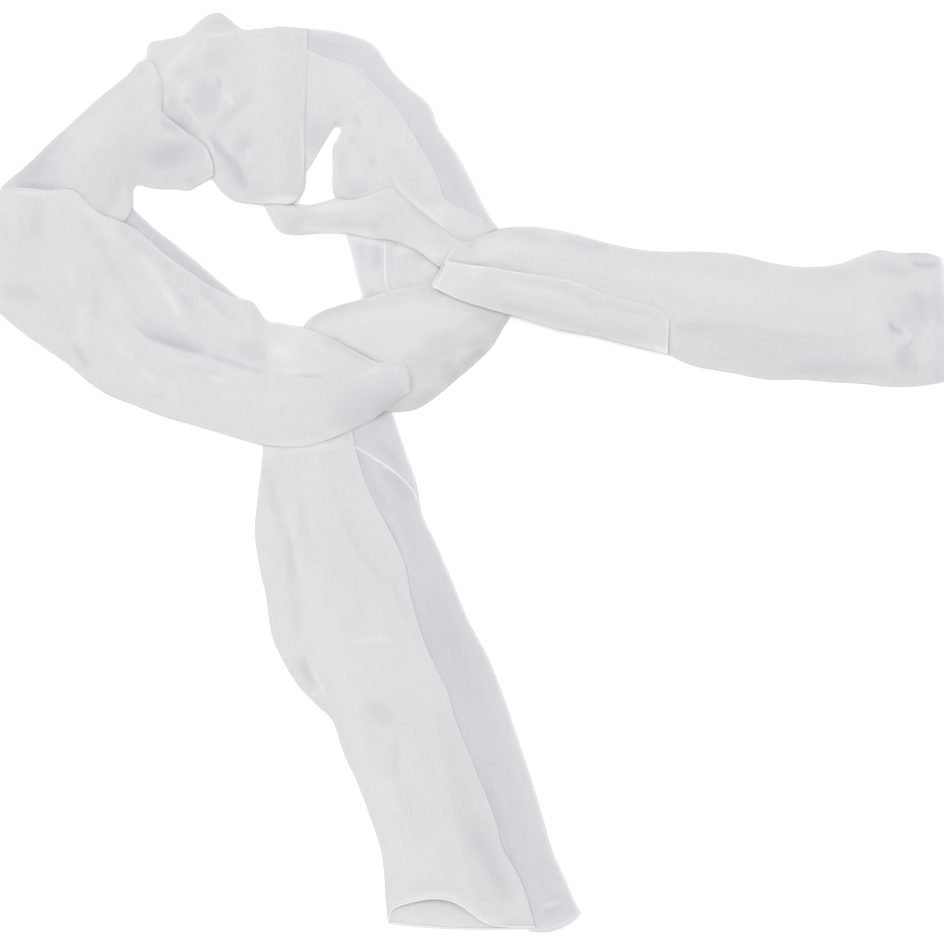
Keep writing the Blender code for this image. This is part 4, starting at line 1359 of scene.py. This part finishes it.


# White chiffon: cooler and sheerer where it is one layer, with fine uneven threads both ways, a
# crinkle between them, and the tone attribute, which carries the painted shade and painted light of
# the folds, marks and edges.
def makeChiffon(name):
    material = bpy.data.materials.new(name)
    material.use_nodes = True
    tree = material.node_tree
    shader = tree.nodes["Principled BSDF"]
    base = Thread(tree)
    weave = base.node("ShaderNodeUVMap", {"uv_map": "weave"})
    tone = base.node("ShaderNodeAttribute", {"attribute_name": "tone"}, output="Fac")
    thin = base.node("ShaderNodeAttribute", {"attribute_name": "thin"}, output="Fac")
    fine, slow = chiffon["threads"], chiffon["threads"] * chiffon["streak"]
    crinkled = fine * chiffon["crinkle"]

    def streaks(scale, detail):
        spread = base.node("ShaderNodeVectorMath", {"operation": "MULTIPLY"}, {0: weave, 1: scale})
        return base.node("ShaderNodeTexNoise", {}, {"Vector": spread, "Scale": 1.0, "Detail": detail})

    warp = streaks((fine, slow, 1), 1.0)
    weft = streaks((slow, fine, 1), 1.0)
    crinkle = streaks((crinkled, crinkled, 1), 2.0)
    # Brightness: the tone, with its painted shade and painted light, times the uneven threads
    brightness = tone * (1 + chiffon["uneven"] * (warp + weft - 1))
    colours = {0: thin, 6: (*chiffon["folded"], 1), 7: (*chiffon["single"], 1)}
    hue = base.node("ShaderNodeMix", {"data_type": "RGBA"}, colours, output=2)
    scaled = {"Vector": hue, "Scale": brightness}
    colour = base.node("ShaderNodeVectorMath", {"operation": "SCALE"}, scaled)
    cover = chiffon["foldedCover"] + (chiffon["singleCover"] - chiffon["foldedCover"]) * thin
    relief = {
        "Strength": chiffon["bump"],
        "Distance": chiffon["bumpDepth"],
        "Height": warp + weft + crinkle,
    }
    bump = base.node("ShaderNodeBump", {}, relief)
    for socket, value in (("Base Color", colour), ("Alpha", cover), ("Normal", bump)):
        tree.links.new(value.socket, shader.inputs[socket])
    constants = {
        "Roughness": chiffon["roughness"],
        "Sheen Weight": chiffon["sheen"],
        "Sheen Roughness": chiffon["sheenRoughness"],
        "Specular IOR Level": chiffon["shine"],
        "Subsurface Weight": chiffon["scatter"],
        "Subsurface Radius": (1, 1, 1),
        "Subsurface Scale": chiffon["scatterReach"],
    }
    for socket, value in constants.items():
        shader.inputs[socket].default_value = value
    return material


scarfChiffon = makeChiffon("scarfChiffon")


# Floor, light and camera, in metres, with the sensor in millimetres and the lamp in watts
studio = {
    "floor": 0.93,
    "floorRoughness": 0.9,
    "floorShine": 0.1,
    "floorHalf": 4,
    "floorDrop": 0.0004,  # how far below the scarf's underside the floor is
    "sky": 0.93,
    "keyPower": 93.0,
    "keySize": 3.0,
    "keyPlace": (-1.6, 1.6, 5.0),
    "cameraHeight": 4.0,
    "sensor": 36,
    "farthest": 50,
    "framed": 0.6797,  # width of what the camera sees at the height of the table
    "centre": (0.0043, -0.0007),
}


# A square floor, an even sky, one soft lamp that looks at the origin, and a camera that
# looks straight down. Its lens is the sensor's width by its height over the framed width.
def makeStudio():
    half = studio["floorHalf"]
    corners = [(-half, -half), (half, -half), (half, half), (-half, half)]
    plane = bpy.data.meshes.new("floor")
    plane.from_pydata([(x, y, -studio["floorDrop"]) for x, y in corners], [], [(0, 1, 2, 3)])
    floor = bpy.data.objects.new("floor", plane)
    paint = bpy.data.materials.new("paleFloor")
    paint.use_nodes = True
    finish = paint.node_tree.nodes["Principled BSDF"]
    finish.inputs["Base Color"].default_value = (*[studio["floor"]] * 3, 1)
    finish.inputs["Roughness"].default_value = studio["floorRoughness"]
    finish.inputs["Specular IOR Level"].default_value = studio["floorShine"]
    plane.materials.append(paint)
    world = bpy.data.worlds.new("sky")
    world.use_nodes = True
    world.node_tree.nodes["Background"].inputs["Strength"].default_value = studio["sky"]
    world.node_tree.nodes["Background"].inputs["Color"].default_value = (1, 1, 1, 1)
    bpy.context.scene.world = world
    lamp = bpy.data.lights.new("softbox", "AREA")
    lamp.size = studio["keySize"]
    lamp.energy = studio["keyPower"]
    softbox = bpy.data.objects.new("softbox", lamp)
    softbox.location = studio["keyPlace"]
    softbox.rotation_euler = Vector(studio["keyPlace"]).to_track_quat("Z", "Y").to_euler()
    lens = bpy.data.cameras.new("camera")
    lens.sensor_width = studio["sensor"]
    lens.lens = lens.sensor_width * studio["cameraHeight"] / studio["framed"]
    lens.clip_end = studio["farthest"]
    camera = bpy.data.objects.new("camera", lens)
    camera.location = (*studio["centre"], studio["cameraHeight"])
    for thing in (floor, softbox, camera):
        bpy.context.scene.collection.objects.link(thing)
    bpy.context.scene.camera = camera
    bpy.context.scene.view_settings.view_transform = "Standard"


makeStudio()
print("floor, light and camera set")


# One stretch as a thin shell of chiffon in place of its solid: an open sheet where it is
# a single layer, and a tube round its rings where it is folded. Its points are then among
# the heights that the next ones lie on.
def layStretch(name, facts):
    stretch = Stretch(facts)
    single = facts["layerCount"] == 1
    along = stretch.steps()
    if single:
        count = int(stretch.width(along).max() / spacing["across"]) + 2
        grid = np.meshgrid(along, np.linspace(0, 1, count), indexing="ij")
        height, tone = stretch.top(*grid)
        rings = np.dstack([stretch.plan(*grid), height])
    else:
        rings, tone = foldedRings(stretch, along)
        rings = closeTips(rings, along, stretch.length, facts.get("tips", (0, 0)))
    sheer = facts.get("sheer", 1 if single else tones["sheer"])
    # Darker tones, painted shade among them, make the cloth cooler and sheerer
    thin = np.clip(sheer + tones["darkSheer"] * (1 - tone), 0, 1)
    marks = {"tone": tone * facts.get("shade", 1), "thin": thin}
    mesh = gridMesh(name + "Cloth", rings, marks, not single)
    piece = addPiece(name + "Cloth", mesh, scarfChiffon)
    thicken(piece)
    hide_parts(facts["node"])
    laid = cellHeights(rings[..., 0], rings[..., 1], rings[..., 2])
    laidTops[facts["node"]] = np.where(laid == 0, spreadOut(laid, table["cell"]), laid)
    print(name, "laid,", round(stretch.length), "mm long")
    return piece, rings


# Rolled hems
hem = {
    "wide": 1.9,
    "thick": 0.6,
    "sink": 0.2,  # how deep a hem lies in the cloth that it is laid on
    "mouthWide": 1.4,  # of the hem round a tail's open end
    "mouthThick": 0.9,
    "tone": 0.87,
    "sides": 10,
    "endsBlunt": 0.3,  # the lower, the blunter the ends
    "uneven": 0.12,
    "unevenLong": 4.0,  # points of the path from one change of thickness to the next
    "seed": 5,
    "pathSteps": 12,  # points of the finished path for each one given
    "rounds": 6,  # how often a loop's path is rounded
}


# A thin roll of cloth along a path of points (count, 3): an oval section square to the
# path, thinner at its ends, closed to a point there or round in a loop.
def hemRings(path, wide, thick, loop):
    if loop:
        ahead = np.roll(path, -1, axis=0) - np.roll(path, 1, axis=0)
    else:
        ahead = np.gradient(path, axis=0)
    ahead /= np.linalg.norm(ahead, axis=1, keepdims=True)
    up = np.array([0.0, 0.0, 1.0])
    sideways = np.cross(ahead, up)
    sideways /= np.maximum(np.linalg.norm(sideways, axis=1, keepdims=True), 1e-6)
    upwards = np.cross(sideways, ahead)
    turn = np.linspace(0, 2 * np.pi, hem["sides"] + 1)[:-1]
    size = np.ones(len(path))
    if not loop:
        size = np.sin(np.pi * np.linspace(0, 1, len(path))) ** hem["endsBlunt"]
        size[[0, -1]] = 0
    place = np.arange(len(path)) / hem["unevenLong"]
    size = size * (1 + hem["uneven"] * lumps(place, np.zeros(len(path)), hem["seed"]))
    out = wide / 2 * np.cos(turn)[None, :, None] * sideways[:, None, :]
    out = out + thick / 2 * np.sin(turn)[None, :, None] * upwards[:, None, :]
    rings = path[:, None, :] + out * size[:, None, None]
    return np.concatenate([rings, rings[:1]]) if loop else rings


# A rolled hem along a path of points, nowhere below the table. A loop's path is rounded
# first: each point moves half way to the middle of its two neighbours.
def addHem(name, path, wide, thick, loop):
    path = np.column_stack([path[:, :2], np.maximum(path[:, 2], thick / 2)])
    for _ in range(hem["rounds"] if loop else 0):
        path = (np.roll(path, 1, axis=0) + 2 * path + np.roll(path, -1, axis=0)) / 4
    rings = hemRings(path, wide, thick, loop)
    mesh = gridMesh(name, rings, {"tone": hem["tone"], "thin": 0}, True)
    piece = addPiece(name, mesh, scarfChiffon)
    return piece


# A rolled hem laid along a path of (x, y) on the top of a stretch, a little sunk into it.
def layHem(name, node, path):
    path = readRows(path, np.linspace(0, 1, hem["pathSteps"] * len(path)))
    height = heightAt(laidTops[node], path[:, 0], path[:, 1]) + hem["thick"] / 2 - hem["sink"]
    return addHem(name, np.column_stack([path, height]), hem["wide"], hem["thick"], False)


# The order in which they are laid, the lowest first, and the seeds of their wrinkles
seeds = {"first": 11, "step": 100}
stretches = {
    "edgeStrip": edgeStrip,
    "loopEdge": loopEdge,
    "neckStrip": neckStrip,
    "loopRight": loopRight,
    "innerStrip": innerStrip,
    "bendTop": bendTop,
    "bendLeft": bendLeft,
    "tailPanel": tailPanel,
    "tailLower": tailLower,
    "knotWrap": knotWrap,
    "tailRight": tailRight,
    "tailFlap": tailFlap,
    "strandLeft": strandLeft,
}
for place, (name, facts) in enumerate(stretches.items()):
    facts["seed"] = seeds["first"] + seeds["step"] * place
    piece, rings = layStretch(name, facts)
    for number, path in enumerate(facts.get("hems", ())):
        layHem(f"{name}Hem{number + 1}", facts["node"], path)
    if facts.get("mouth"):
        mouth = (hem["mouthWide"], hem["mouthThick"])
        addHem(f"{name}MouthHem", rings[-1], *mouth, True)
    "folded" if facts["layerCount"] > 1 else "laid"
print("stretches laid:", len(stretches))
